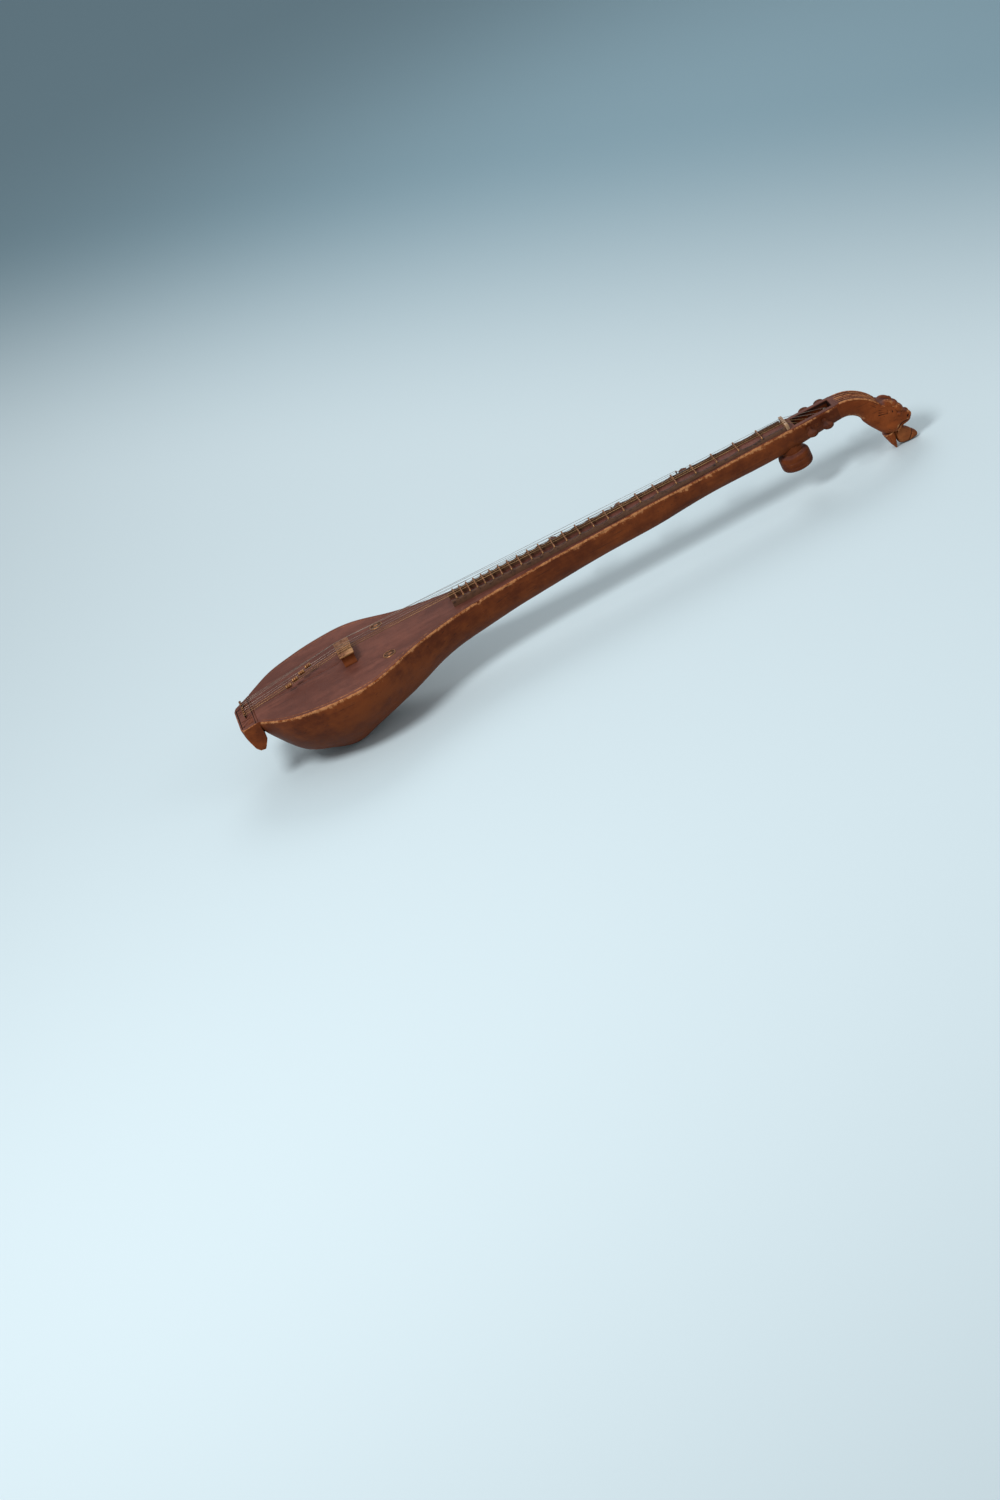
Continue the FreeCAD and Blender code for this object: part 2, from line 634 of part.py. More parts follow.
# ---------------------------------------------------------------- upper resonator
def resonator_turned(rows):
    """A piece turned about the resonator's upright axis, from (radius, drop below TOP) rows."""
    centre = at(RESONATOR_STATION, 0, TOP)
    corners = [centre + Vector(r, 0, -drop) for r, drop in rows]
    return Part.Face(Part.makePolygon(corners + corners[:1])).revolve(centre, UP, 360)


def stud_rod(radius):
    bottom = at(RESONATOR_STATION, 0, TOP - RESONATOR_TOP - RESONATOR_WALL)
    return Part.makeCylinder(radius, RESONATOR_WALL + STUD_REACH, bottom, UP)


def make_resonator_collar():
    """A ring of wood between the round underside of the neck and the resonator."""
    radius = RESONATOR_NECK_RADIUS - RESONATOR_STEP
    start = RESONATOR_TOP - RESONATOR_COLLAR
    rows = [(0, start), (radius, start), (radius, RESONATOR_TOP), (0, RESONATOR_TOP)]
    collar = resonator_turned(rows).cut(OUTER)
    return collar.cut(stud_rod(STUD_RADIUS + PEG_FIT))


def make_upper_resonator():
    """A small open cup, as wide as the neck."""
    top = RESONATOR_TOP
    rim = top + RESONATOR_HEIGHT
    inner = RESONATOR_RADIUS - RESONATOR_WALL
    rows = [(0, top), (RESONATOR_NECK_RADIUS, top)]
    rows += [(a * RESONATOR_RADIUS, top + b * RESONATOR_HEIGHT) for a, b in RESONATOR_PROFILE]
    rows += [(inner, rim), (inner, top + RESONATOR_HEIGHT / 3),
             (RESONATOR_FLOOR * inner, top + RESONATOR_WALL), (0, top + RESONATOR_WALL)]
    return resonator_turned(rows).cut(stud_rod(STUD_RADIUS + PEG_FIT))


def make_resonator_cover():
    outside = RESONATOR_TOP + RESONATOR_HEIGHT - RESONATOR_COVER_INSET
    inner = RESONATOR_RADIUS - RESONATOR_WALL
    rows = [(0, outside - RESONATOR_COVER), (inner, outside - RESONATOR_COVER),
            (inner, outside), (0, outside)]
    return resonator_turned(rows)


def make_resonator_stud():
    """The bolt that holds the resonator to the neck, with its nut inside the cup."""
    seat = RESONATOR_TOP + RESONATOR_WALL
    rows = [(0, seat), (STUD_NUT_RADIUS, seat), (STUD_NUT_RADIUS, seat + STUD_NUT_HEIGHT),
            (0, seat + STUD_NUT_HEIGHT)]
    return stud_rod(STUD_RADIUS).fuse(resonator_turned(rows))


# ---------------------------------------------------------------- scroll and beast head
def on_elbow(radius, degrees):
    """A (station, z) point at a radius and a turn past the straight part of the scroll."""
    angle = math.radians(degrees)
    return (ELBOW_STATION + radius * math.sin(angle),
            TOP - SCROLL_RADIUS + radius * math.cos(angle))


def make_scroll():
    """The neck's own section, carried round the elbow and growing deeper towards the head."""
    station, half_width, depth, squareness = body_sections()[-1]
    wires = [placed_wire((half_width, depth, squareness), station)]
    for i in range(SCROLL_STEPS + 1):
        share = i / SCROLL_STEPS
        degrees = SCROLL_TURN * share
        deeper = (SCROLL_END_DEPTH - depth) * share ** 2
        wire = section_wire(SCROLL_HALF_WIDTH, depth + deeper, squareness)
        wire.rotate(Vector(0, 0, 0), Vector(0, 1, 0), degrees)
        station, z = on_elbow(SCROLL_RADIUS, degrees)
        wire.translate(at(station, 0, z))
        wires.append(wire)
    return Part.makeLoft(wires, True, False)


def head_points(shares):
    """Points given as shares of the head's reach and of its drop to the rest plane."""
    top = on_elbow(SCROLL_RADIUS, SCROLL_TURN)[1]
    return [(ELBOW_STATION + HEAD_REACH * a, top * (1 - b)) for a, b in shares]


def make_beast_head():
    root = [on_elbow(SCROLL_RADIUS - SCROLL_END_DEPTH, SCROLL_TURN),
            on_elbow(SCROLL_RADIUS, SCROLL_TURN)]
    face = head_points(HEAD_FACE)
    layers = []
    for y, grow in HEAD_LAYERS:
        points = [at(s, y * HEAD_HALF_WIDTH, z) for s, z in root + face]
        middle = sum(points, Vector()) / len(points)
        points = [middle + (p - middle) * grow for p in points]
        layers.append(Part.makePolygon(points + points[:1]))
    return Part.makeLoft(layers, True, True)


def make_beast_jaw():
    return extrude_side(head_points(JAW_SIDE), JAW_HALF_WIDTH)


def make_beast_tongue():
    return extrude_side(head_points(TONGUE_SIDE), TONGUE_HALF_WIDTH).cut(HEAD)


def head_bumps(share, y, radius):
    """A pair of rounded bumps, one on each side of the head, cut to its surface."""
    station, z = head_points([share])[0]
    pair = [Part.makeSphere(radius, at(station, side * y, z)).cut(HEAD) for side in (-1, 1)]
    return Part.makeCompound(pair)


# ---------------------------------------------------------------- soundboard trim
def make_sound_rosettes():
    """Two thin brass discs on the soundboard, each with a ring of holes."""
    discs = []
    for side in (-1, 1):
        centre = at(ROSETTE_STATION, side * ROSETTE_Y, TOP)
        disc = Part.makeCylinder(ROSETTE_RADIUS, ROSETTE_THICK, centre, UP)
        for i in range(ROSETTE_HOLES):
            angle = math.tau * i / ROSETTE_HOLES
            spot = Vector(math.cos(angle), math.sin(angle), 0) * (ROSETTE_RING * ROSETTE_RADIUS)
            disc = disc.cut(Part.makeCylinder(ROSETTE_HOLE, ROSETTE_THICK, centre + spot, UP))
        discs.append(disc)
    return Part.makeCompound(discs)


OUTER = make_outer()
HOLLOW = make_hollow()
FRETS = Part.makeCompound([fret_rod(n + 1) for n in range(FRET_COUNT)])
HEAD = make_beast_head()

NODES = {
    "bowl": make_bowl(),
    "soundboard": make_soundboard(),
    "soundboard_braces": make_soundboard_braces(),
    "sound_rosettes": make_sound_rosettes(),
    "tail_block": make_tail_block(),
    "string_pins": make_string_pins(),
    "bridge": make_bridge(),
    "bridge_plate": make_bridge_plate(),
    "drone_bridge": make_drone_bridge(),
    "neck": make_neck(),
    "fingerboard": make_fingerboard(),
    "fret_ledge_near": make_ledge(-1),
    "fret_ledge_far": make_ledge(1),
    "frets": FRETS,
    "nut": make_nut(),
    "drone_posts": make_drone_posts(),
    "peg_box": make_peg_box(),
    "peg_blocks": make_peg_blocks(),
    "resonator_collar": make_resonator_collar(),
    "upper_resonator": make_upper_resonator(),
    "resonator_cover": make_resonator_cover(),
    "resonator_stud": make_resonator_stud(),
    "scroll": make_scroll(),
    "beast_head": HEAD,
    "beast_jaw": make_beast_jaw(),
    "beast_tongue": make_beast_tongue(),
    "beast_ears": head_bumps((0.78, 0.13), 0.55 * HEAD_HALF_WIDTH, EAR_RADIUS),
    "beast_eyes": head_bumps((0.81, 0.35), 0.92 * HEAD_HALF_WIDTH, EYE_RADIUS),
}
for i in range(len(MAIN_STRING_RADII)):
    NODES[f"main_string_{i + 1}"] = string_solid(main_string_points(i), MAIN_STRING_RADII[i])
    NODES[f"main_peg_{i + 1}"] = make_main_peg(i)
    NODES[f"main_winding_{i + 1}"] = make_main_winding(i)
    NODES[f"fine_tuner_{i + 1}"] = make_fine_tuner(i)
for i in range(len(DRONE_STRING_RADII)):
    NODES[f"drone_string_{i + 1}"] = string_solid(drone_string_points(i), DRONE_STRING_RADII[i])
    NODES[f"drone_peg_{i + 1}"] = make_drone_peg(i)
    NODES[f"drone_winding_{i + 1}"] = make_drone_winding(i)

os.makedirs("parts", exist_ok=True)
for name, shape in NODES.items():
    shape.exportStep(f"parts/{name}.step")
    print(f"{name}: {len(shape.Solids)} solid(s), {shape.Volume:.0f} mm3, valid {shape.isValid()}")
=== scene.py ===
import math

import bmesh
import bpy
import numpy as np
from mathutils import Matrix, Vector, noise
from mathutils.bvhtree import BVHTree


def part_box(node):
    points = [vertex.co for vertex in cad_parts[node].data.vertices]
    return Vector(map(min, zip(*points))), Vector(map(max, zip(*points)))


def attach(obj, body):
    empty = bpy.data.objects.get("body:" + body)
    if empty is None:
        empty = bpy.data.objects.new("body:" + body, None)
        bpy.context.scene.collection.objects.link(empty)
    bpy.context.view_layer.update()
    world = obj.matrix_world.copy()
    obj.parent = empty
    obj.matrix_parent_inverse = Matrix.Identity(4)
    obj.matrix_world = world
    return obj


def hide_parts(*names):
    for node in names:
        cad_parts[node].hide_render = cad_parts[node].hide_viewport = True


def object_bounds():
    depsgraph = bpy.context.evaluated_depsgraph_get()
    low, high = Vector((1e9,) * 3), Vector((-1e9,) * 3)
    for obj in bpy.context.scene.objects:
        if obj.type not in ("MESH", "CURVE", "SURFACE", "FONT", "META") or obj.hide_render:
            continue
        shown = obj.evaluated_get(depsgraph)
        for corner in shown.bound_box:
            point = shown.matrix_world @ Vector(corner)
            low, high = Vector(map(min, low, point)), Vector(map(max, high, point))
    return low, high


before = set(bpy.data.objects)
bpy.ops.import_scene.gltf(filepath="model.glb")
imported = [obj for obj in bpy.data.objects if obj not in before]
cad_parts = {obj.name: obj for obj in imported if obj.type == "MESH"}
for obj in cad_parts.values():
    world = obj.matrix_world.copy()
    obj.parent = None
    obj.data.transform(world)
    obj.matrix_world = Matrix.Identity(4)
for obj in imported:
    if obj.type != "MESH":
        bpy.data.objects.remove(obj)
cad_low, cad_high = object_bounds()

# A veena lying on its bowl, strings up: +X runs from the tail to the beast head, +Z is up out of
# the soundboard. Everything is in metres, and stations are lengths from the tail end.
MM = 0.001
TAIL_X = cad_low.x
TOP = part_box("soundboard")[1].z
ALONG = Vector((1, 0, 0))
ACROSS = Vector((0, 1, 0))
UP = Vector((0, 0, 1))
ROOT = "instrument"


def station(millimetres):
    """The X of a station."""
    return TAIL_X + millimetres * MM


# ---------------------------------------------------------------- camera
CAMERA_AWAY = 6.0
CAMERA_DOWN = math.radians(27.0)
CAMERA_ROLL = math.radians(28.0)
VIEW_HEIGHT = 2.625             # what the upright of the picture takes in at the instrument
AIM_STATION = 383.0
AIM_BELOW = 0.267


def make_camera():
    """Looks across the soundboard from the player's front, with the neck rising to the right."""
    forward = Vector((0, math.cos(CAMERA_DOWN), -math.sin(CAMERA_DOWN)))
    level_up = Vector((0, math.sin(CAMERA_DOWN), math.cos(CAMERA_DOWN)))
    up = ALONG * math.sin(CAMERA_ROLL) + level_up * math.cos(CAMERA_ROLL)
    right = ALONG * math.cos(CAMERA_ROLL) - level_up * math.sin(CAMERA_ROLL)
    aim = Vector((station(AIM_STATION), 0, TOP)) - level_up * AIM_BELOW
    camera = bpy.data.objects.new("camera", bpy.data.cameras.new("camera"))
    camera.data.lens = camera.data.sensor_width * CAMERA_AWAY / VIEW_HEIGHT
    turned = Matrix((right, up, -forward)).transposed().to_4x4()
    camera.matrix_world = Matrix.Translation(aim - forward * CAMERA_AWAY) @ turned
    bpy.context.scene.collection.objects.link(camera)
    bpy.context.scene.camera = camera


# ---------------------------------------------------------------- material tools
class Value:
    """A socket of a finish. Arithmetic on it adds the Math nodes that work it out."""

    def __init__(self, finish, socket):
        self.finish = finish
        self.socket = socket

    def math(self, operation, *values):
        """The result of one Math node."""
        return self.finish.node("Math", {"operation": operation}, values)

    def __add__(self, other):
        return self.math("ADD", self, other)

    def __radd__(self, other):
        return self.math("ADD", other, self)

    def __sub__(self, other):
        return self.math("SUBTRACT", self, other)

    def __rsub__(self, other):
        return self.math("SUBTRACT", other, self)

    def __mul__(self, other):
        return self.math("MULTIPLY", self, other)

    def __rmul__(self, other):
        return self.math("MULTIPLY", other, self)

    def __abs__(self):
        return self.math("ABSOLUTE", self)


class Finish:
    """A material built on one Principled shader."""

    def __init__(self, name, **uniform):
        self.material = bpy.data.materials.new(name)
        self.material.use_nodes = True
        self.tree = self.material.node_tree
        self.shader = self.tree.nodes["Principled BSDF"]
        for socket, value in uniform.items():
            self.shader.inputs[socket.replace("_", " ")].default_value = value

    def feed(self, socket, value):
        """Links a value to a socket, or writes a number or a colour into it."""
        if isinstance(value, Value):
            self.tree.links.new(value.socket, socket)
        elif isinstance(value, tuple) and len(value) == 3 and socket.type == "RGBA":
            socket.default_value = (*value, 1)
        else:
            socket.default_value = value

    def node(self, kind, settings=None, inputs=(), output=0):
        """Adds a node, sets it up, then fills its sockets by place or name; gives one output."""
        made = self.tree.nodes.new("ShaderNode" + kind)
        for name, value in (settings or {}).items():
            setattr(made, name, value)
        places = inputs.items() if isinstance(inputs, dict) else enumerate(inputs)
        for place, value in places:
            self.feed(made.inputs[place], value)
        return Value(self, made.outputs[output])

    def place(self, stretch=(1, 1, 1)):
        """The point on the object, squeezed along each axis by a stretch."""
        here = self.node("TexCoord", output="Object")
        return self.node("Mapping", {}, {"Vector": here, "Scale": stretch})

    def noise(self, scale, detail=3.0, rough=0.55, stretch=(1, 1, 1)):
        """Noise of about a scale per metre, from 0 to 1."""
        return self.node("TexNoise", {}, {"Vector": self.place(stretch), "Scale": scale,
                                          "Detail": detail, "Roughness": rough})

    def ramp(self, value, low, high, to_low=0.0, to_high=1.0):
        """A smooth change from one number to another while the value goes from low to high."""
        return self.node("MapRange", {"interpolation_type": "SMOOTHSTEP"},
                         (value, low, high, to_low, to_high))

    def blend(self, mask, first, second):
        """The first colour where the mask is 0 and the second where it is 1."""
        return self.node("Mix", {"data_type": "RGBA"}, {0: mask, 6: first, 7: second}, 2)

    def attribute(self, name):
        """A mark that is kept on the mesh, from 0 to 1."""
        return self.node("Attribute", {"attribute_name": name}, output="Fac")

    def facing_up(self):
        """How far the surface faces up, from -1 to 1."""
        normal = self.node("NewGeometry", output="Normal")
        return self.node("SeparateXYZ", {}, (normal,), 2)

    def along(self):
        """Where the point is along the instrument, in metres from the frame's origin."""
        return self.node("SeparateXYZ", {}, (self.place(),), 0)

    def across(self):
        """Where the point is across the instrument."""
        return self.node("SeparateXYZ", {}, (self.place(),), 1)

    def height(self):
        """How high the point is over the floor."""
        return self.node("SeparateXYZ", {}, (self.place(),), 2)

    def greater(self, first, second):
        """The greater of two values."""
        return self.node("Math", {"operation": "MAXIMUM"}, (first, second))

    def finished(self, colour, roughness=None, relief=None, depth=0.0003, strength=1.0):
        """The material with its colour, roughness and fine relief. The depth is in metres."""
        self.feed(self.shader.inputs["Base Color"], colour)
        if roughness is not None:
            self.feed(self.shader.inputs["Roughness"], roughness)
        if relief is not None:
            bump = self.node("Bump", {}, {"Height": relief, "Distance": depth,
                                          "Strength": strength})
            self.feed(self.shader.inputs["Normal"], bump)
        return self.material


# ---------------------------------------------------------------- finishes
# Linear colours of the old surface: boards, flanks, rubbed edges and the dirt in cuts.
BOARD_BROWN = (0.140, 0.049, 0.034)
BOARD_DARK = (0.078, 0.026, 0.019)
BOARD_PALE = (0.212, 0.078, 0.054)
SIDE_BROWN = (0.126, 0.028, 0.008)
# The dark flank tone is also laid as painted shade on faces that look down.
SIDE_DARK_AND_SHADE = (0.070, 0.015, 0.005)
SIDE_WARM = (0.205, 0.050, 0.012)
WORN_GOLD = (0.50, 0.215, 0.085)
GRIME = (0.014, 0.007, 0.006)
RIM_INSIDE = 0.017              # nothing nearer the middle than this is a rim


def patina(name, rim_height=None, rub=1.0, side=SIDE_BROWN, side_dark_and_shade=SIDE_DARK_AND_SHADE,
           side_warm=SIDE_WARM, rubbed_middle=True):
    """Old reddish-brown surface: purple-brown on top, warmer on its flanks, darkened by painted
    shade where it faces down, and rubbed golden on its edges. rim_height is the height of the
    soundboard, for pieces that are rubbed along it.
    Without rubbed_middle only the rims are rubbed, as on a board that the strings cover."""
    wood = Finish(name, Specular_IOR_Level=0.07)
    broad = wood.noise(9, 4, 0.6, (0.6, 1, 1))
    patches = wood.noise(48, 5, 0.68)
    grain = wood.noise(42, 6, 0.62, (0.10, 1.6, 1.6))
    speck = wood.noise(650, 3, 0.7)
    scratch = wood.noise(110, 2, 0.5, (0.07, 3.0, 3.0))
    mottle = wood.ramp(broad * 0.5 + patches * 0.3 + grain * 0.2, 0.40, 0.60)
    top = wood.blend(0.45, wood.blend(mottle, BOARD_DARK, BOARD_PALE), BOARD_BROWN)
    flank = wood.blend(0.35, wood.blend(mottle, side_dark_and_shade, side_warm), side)
    up = wood.facing_up()
    colour = wood.blend(wood.ramp(up, 0.50, 0.92), flank, top)
    # Painted shade: faces that look down are darkened towards the dark flank tone.
    colour = wood.blend(wood.ramp(up, -0.25, -0.95) * 0.4, colour, side_dark_and_shade)
    worn = wood.attribute("worn")
    outside = wood.ramp(abs(wood.across()), RIM_INSIDE, RIM_INSIDE + 0.002)
    if not rubbed_middle:
        worn = worn * outside
    if rim_height is not None:
        worn = worn * wood.ramp(wood.height(), rim_height - 0.004, rim_height - 0.001)
        rim = wood.ramp(wood.height() + (patches - 0.5) * 0.016, rim_height - 0.014, rim_height)
        worn = wood.greater(worn, rim * outside * wood.ramp(up, 0.75, 0.4))
    flecks = wood.noise(170, 4, 0.75)
    ragged = worn + (patches - 0.5) * 1.2 + (flecks - 0.5) * 2.0 + (speck - 0.5) * 0.5
    warmed = wood.ramp(worn + (broad - 0.5) * 0.9, 0.30, 0.95) * (0.75 * rub)
    rubbed = wood.ramp(ragged, 0.70, 1.15) * (0.85 * rub)
    colour = wood.blend(warmed, colour, SIDE_WARM)
    colour = wood.blend(rubbed, colour, WORN_GOLD)
    dirt = wood.ramp(wood.attribute("sunk") + (patches - 0.5) * 0.4, 0.22, 0.80) * 0.92
    pits = wood.ramp(wood.noise(210, 4, 0.75), 0.63, 0.71) * 0.7
    streaks = wood.ramp(scratch, 0.64, 0.72) * 0.45
    colour = wood.blend(wood.greater(wood.greater(dirt, pits), streaks), colour, GRIME)
    roughness = 0.50 + (patches - 0.5) * 0.3 - rubbed * 0.14 + dirt * 0.25
    relief = speck * 0.3 + grain * 0.5 - streaks * 0.5 - pits * 0.8 + patches * 0.5
    return wood.finished(colour, roughness, relief, 0.0006, 0.8)


def turned_wood(name, dark, light):
    """Dark turned hardwood with fine grain, polished by hand on its high places."""
    wood = Finish(name, Specular_IOR_Level=0.05)
    grain = wood.noise(160, 5, 0.6, (1, 0.18, 1))
    patches = wood.noise(60, 4, 0.6)
    colour = wood.blend(wood.ramp(grain * 0.6 + patches * 0.4, 0.35, 0.65), dark, light)
    worn = wood.ramp(wood.attribute("worn") + (patches - 0.5) * 0.7, 0.35, 0.95)
    colour = wood.blend(worn * 0.6, colour, SIDE_WARM)
    dirt = wood.ramp(wood.attribute("sunk"), 0.2, 0.9)
    colour = wood.blend(dirt, colour, GRIME)
    return wood.finished(colour, 0.48 + patches * 0.2 + dirt * 0.2, grain, 0.0002, 0.6)


def old_brass(name, tarnish=0.85):
    """Brass gone brown, bright only where it is rubbed."""
    brass = Finish(name, Metallic=0.9)
    cloud = brass.noise(140, 5, 0.65)
    fine = brass.noise(1500, 3, 0.7)
    stain = brass.ramp(cloud * 0.7 + fine * 0.3, 0.42, 0.62)
    worn = brass.ramp(brass.attribute("worn"), 0.3, 0.9)
    colour = brass.blend(stain * tarnish, (0.32, 0.130, 0.052), (0.085, 0.030, 0.016))
    colour = brass.blend(worn * 0.5, colour, (0.50, 0.28, 0.115))
    dirt = brass.ramp(brass.attribute("sunk"), 0.2, 0.8)
    colour = brass.blend(dirt, colour, GRIME)
    return brass.finished(colour, 0.42 + stain * 0.25, fine * 0.5 + cloud * 0.5, 0.00015, 0.7)


def wire(name, colour, wound):
    """String wire. A wound string has its fine turns as relief."""
    metal = Finish(name, Metallic=0.95)
    cloud = metal.noise(35, 3, 0.6, (0.3, 1, 1))
    dull = tuple(0.45 * c for c in colour)
    tint = metal.blend(metal.ramp(cloud, 0.35, 0.7), colour, dull)
    turns = metal.node("TexWave", {"bands_direction": "X"},
                       {"Vector": metal.place(), "Scale": 620 if wound else 90}, "Fac")
    return metal.finished(tint, 0.32 + cloud * 0.2, turns, 0.0001, 0.8 if wound else 0.1)


def wax(name):
    """Black wax and soot, pressed on by thumb."""
    soft = Finish(name, Specular_IOR_Level=0.2)
    lumps = soft.noise(90, 4, 0.6)
    dust = soft.noise(420, 4, 0.7)
    colour = soft.blend(soft.ramp(dust * 0.6 + lumps * 0.4, 0.4, 0.68), (0.022, 0.011, 0.008),
                        (0.085, 0.034, 0.022))
    rubbed = soft.ramp(soft.attribute("worn") + (lumps - 0.5), 0.5, 1.0)
    colour = soft.blend(rubbed * 0.55, colour, (0.16, 0.072, 0.036))
    return soft.finished(colour, 0.42 + dust * 0.25, lumps * 0.6 + dust * 0.4, 0.0005, 0.8)


def horn(name):
    """Brown horn with pale streaks along it."""
    plate = Finish(name, Specular_IOR_Level=0.5)
    streak = plate.noise(180, 4, 0.6, (1, 0.12, 1))
    colour = plate.blend(plate.ramp(streak, 0.38, 0.66), (0.30, 0.15, 0.075), (0.11, 0.05, 0.03))
    colour = plate.blend(plate.ramp(plate.attribute("worn"), 0.3, 1.0) * 0.5, colour,
                         (0.46, 0.27, 0.13))
    return plate.finished(colour, 0.36 + streak * 0.15, streak, 0.0001, 0.5)


# The flank of a piece in its main, its dark and its warm tone, where it isn't the bowl's. The dark
# tone is also its painted shade where it faces down.
CARVED_SIDE = ((0.195, 0.041, 0.009), (0.120, 0.025, 0.006), (0.280, 0.070, 0.017))
TONGUE_SIDE = ((0.230, 0.066, 0.020), (0.130, 0.034, 0.011), (0.340, 0.110, 0.034))
MATERIALS = {
    "body": patina("carved_body", TOP),
    "board": patina("soundboard_brown", rubbed_middle=False),
    "tail": patina("tail_brown", None, 0.8),
    "carving": patina("carved_beast", None, 1.0, *CARVED_SIDE),
    "tongue": patina("pale_tongue", None, 1.15, *TONGUE_SIDE),
    "resonator": patina("turned_resonator", None, 0.6),
    "raw": turned_wood("raw_inner_wood", (0.20, 0.11, 0.055), (0.36, 0.21, 0.11)),
    "bridge": turned_wood("bridge_wood", (0.060, 0.021, 0.012), (0.130, 0.045, 0.021)),
    "peg": turned_wood("peg_wood", (0.050, 0.014, 0.007), (0.115, 0.032, 0.013)),
    "brass": old_brass("old_brass"),
    "fret": old_brass("fret_brass", 0.65),
    "bronze_wire": wire("bronze_wire", (0.42, 0.24, 0.11), True),
    "steel_wire": wire("steel_wire", (0.36, 0.29, 0.24), False),
    "wax": wax("black_wax"),
    "horn": horn("brown_horn"),
}


# ---------------------------------------------------------------- mesh tools
def new_piece(name, source, material, body=ROOT, replaces=(), smooth_angle=40):
    """A finished piece from a bmesh or a mesh, riding its body and standing for its CAD nodes."""
    if isinstance(source, bmesh.types.BMesh):
        mesh = bpy.data.meshes.new(name)
        source.to_mesh(mesh)
        source.free()
    else:
        mesh = source
    mesh.name = name
    mesh.materials.clear()
    mesh.materials.append(MATERIALS[material])
    mesh.shade_smooth()
    mesh.set_sharp_from_angle(angle=math.radians(smooth_angle))
    piece = bpy.data.objects.new(name, mesh)
    bpy.context.scene.collection.objects.link(piece)
    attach(piece, body)
    if replaces:
        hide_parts(*replaces)
    return piece


def cad_tree(*nodes):
    """A search tree over the faces of CAD nodes, to measure their surface with rays."""
    faces = bmesh.new()
    for node in nodes:
        faces.from_mesh(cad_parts[node].data)
    tree = BVHTree.FromBMesh(faces)
    faces.free()
    return tree


def outermost(tree, centre, direction, reach=0.4):
    """The outer surface met on the way back to a centre along a direction."""
    for nudge in (0, 0.01, -0.01, 0.03, -0.03):
        start = centre + direction * reach + ALONG * (nudge * MM)
        hit = tree.ray_cast(start, -direction)[0]
        if hit:
            return hit
    return centre


def merged_copy(*nodes):
    """A bmesh of CAD nodes with their loose triangles joined."""
    bm = bmesh.new()
    for node in nodes:
        bm.from_mesh(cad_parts[node].data)
    bmesh.ops.remove_doubles(bm, verts=bm.verts, dist=0.01 * MM)
    return bm


def extend_ring(bm, ring, points, closed):
    """Extrudes a ring of vertices and puts the new one on its points."""
    pairs = list(zip(ring, ring[1:] + ring[:1])) if closed else list(zip(ring, ring[1:]))
    edges = [bm.edges.get(pair) or bm.edges.new(pair) for pair in pairs]
    made = bmesh.ops.extrude_edge_only(bm, edges=edges)["geom"]
    fresh = {item for item in made if isinstance(item, bmesh.types.BMVert)}
    following = []
    for vert, point in zip(ring, points):
        partner = next(e.other_vert(vert) for e in vert.link_edges if e.other_vert(vert) in fresh)
        partner.co = point
        following.append(partner)
    return following


def drawn(rings, closed=True, capped=True):
    """A skin drawn through rings of points, one after another."""
    bm = bmesh.new()
    ring = [bm.verts.new(point) for point in rings[0]]
    first = ring
    for points in rings[1:]:
        ring = extend_ring(bm, ring, points, closed)
    if capped:
        bm.faces.new(first)
        bm.faces.new(ring)
    bmesh.ops.recalc_face_normals(bm, faces=bm.faces)
    return bm


def turned(profile, centre, axis, steps=40):
    """A piece turned on a lathe: (radius, distance along the axis) in mm about a centre. A
    profile that ends where it starts makes a ring."""
    bm = bmesh.new()
    side = axis.orthogonal().normalized()
    row = [bm.verts.new(centre + (side * r + axis * d) * MM) for r, d in profile]
    edges = [bm.edges.new(pair) for pair in zip(row, row[1:])]
    bmesh.ops.spin(bm, geom=row + edges, cent=centre, axis=axis, dvec=(0, 0, 0),
                   angle=math.tau, steps=steps, use_merge=True, use_duplicate=False)
    bmesh.ops.remove_doubles(bm, verts=bm.verts, dist=0.005 * MM)
    bmesh.ops.dissolve_degenerate(bm, dist=0.001 * MM, edges=bm.edges)
    bmesh.ops.recalc_face_normals(bm, faces=bm.faces)
    return bm


def bevelled(bm, width, segments=2, angle=30):
    """Bevels the edges that turn by more than an angle. The width is in mm."""
    sharp = [e for e in bm.edges
             if len(e.link_faces) == 2 and e.calc_face_angle(0) > math.radians(angle)]
    bmesh.ops.bevel(bm, geom=sharp, offset=width * MM, offset_type="OFFSET", segments=segments,
                    profile=0.5, affect="EDGES", material=-1, clamp_overlap=True)
    return bm


def extruded(outline, direction):
    """A flat outline of points, closed and extruded by a vector."""
    bm = bmesh.new()
    face = bm.faces.new([bm.verts.new(point) for point in outline])
    made = bmesh.ops.extrude_face_region(bm, geom=[face])["geom"]
    moved = [item for item in made if isinstance(item, bmesh.types.BMVert)]
    bmesh.ops.translate(bm, verts=moved, vec=direction)
    bmesh.ops.recalc_face_normals(bm, faces=bm.faces)
    return bm


def remeshed(bm, voxel, smoothing):
    """One closed skin over overlapping solids. The voxel is in mm."""
    mesh = bpy.data.meshes.new("rough")
    bm.to_mesh(mesh)
    bm.free()
    rough = bpy.data.objects.new("rough", mesh)
    bpy.context.scene.collection.objects.link(rough)
    skin = rough.modifiers.new("skin", "REMESH")
    skin.mode = "VOXEL"
    skin.voxel_size = voxel * MM
    relax = rough.modifiers.new("relax", "SMOOTH")
    relax.factor = 0.5
    relax.iterations = smoothing
    graph = bpy.context.evaluated_depsgraph_get()
    result = bpy.data.meshes.new_from_object(rough.evaluated_get(graph))
    bpy.data.objects.remove(rough)
    return result


def set_attribute(mesh, name, values):
    """Keeps one number per vertex for the materials to read."""
    layer = mesh.attributes.new(name, "FLOAT", "POINT")
    layer.data.foreach_set("value", np.asarray(values, dtype=np.float32))


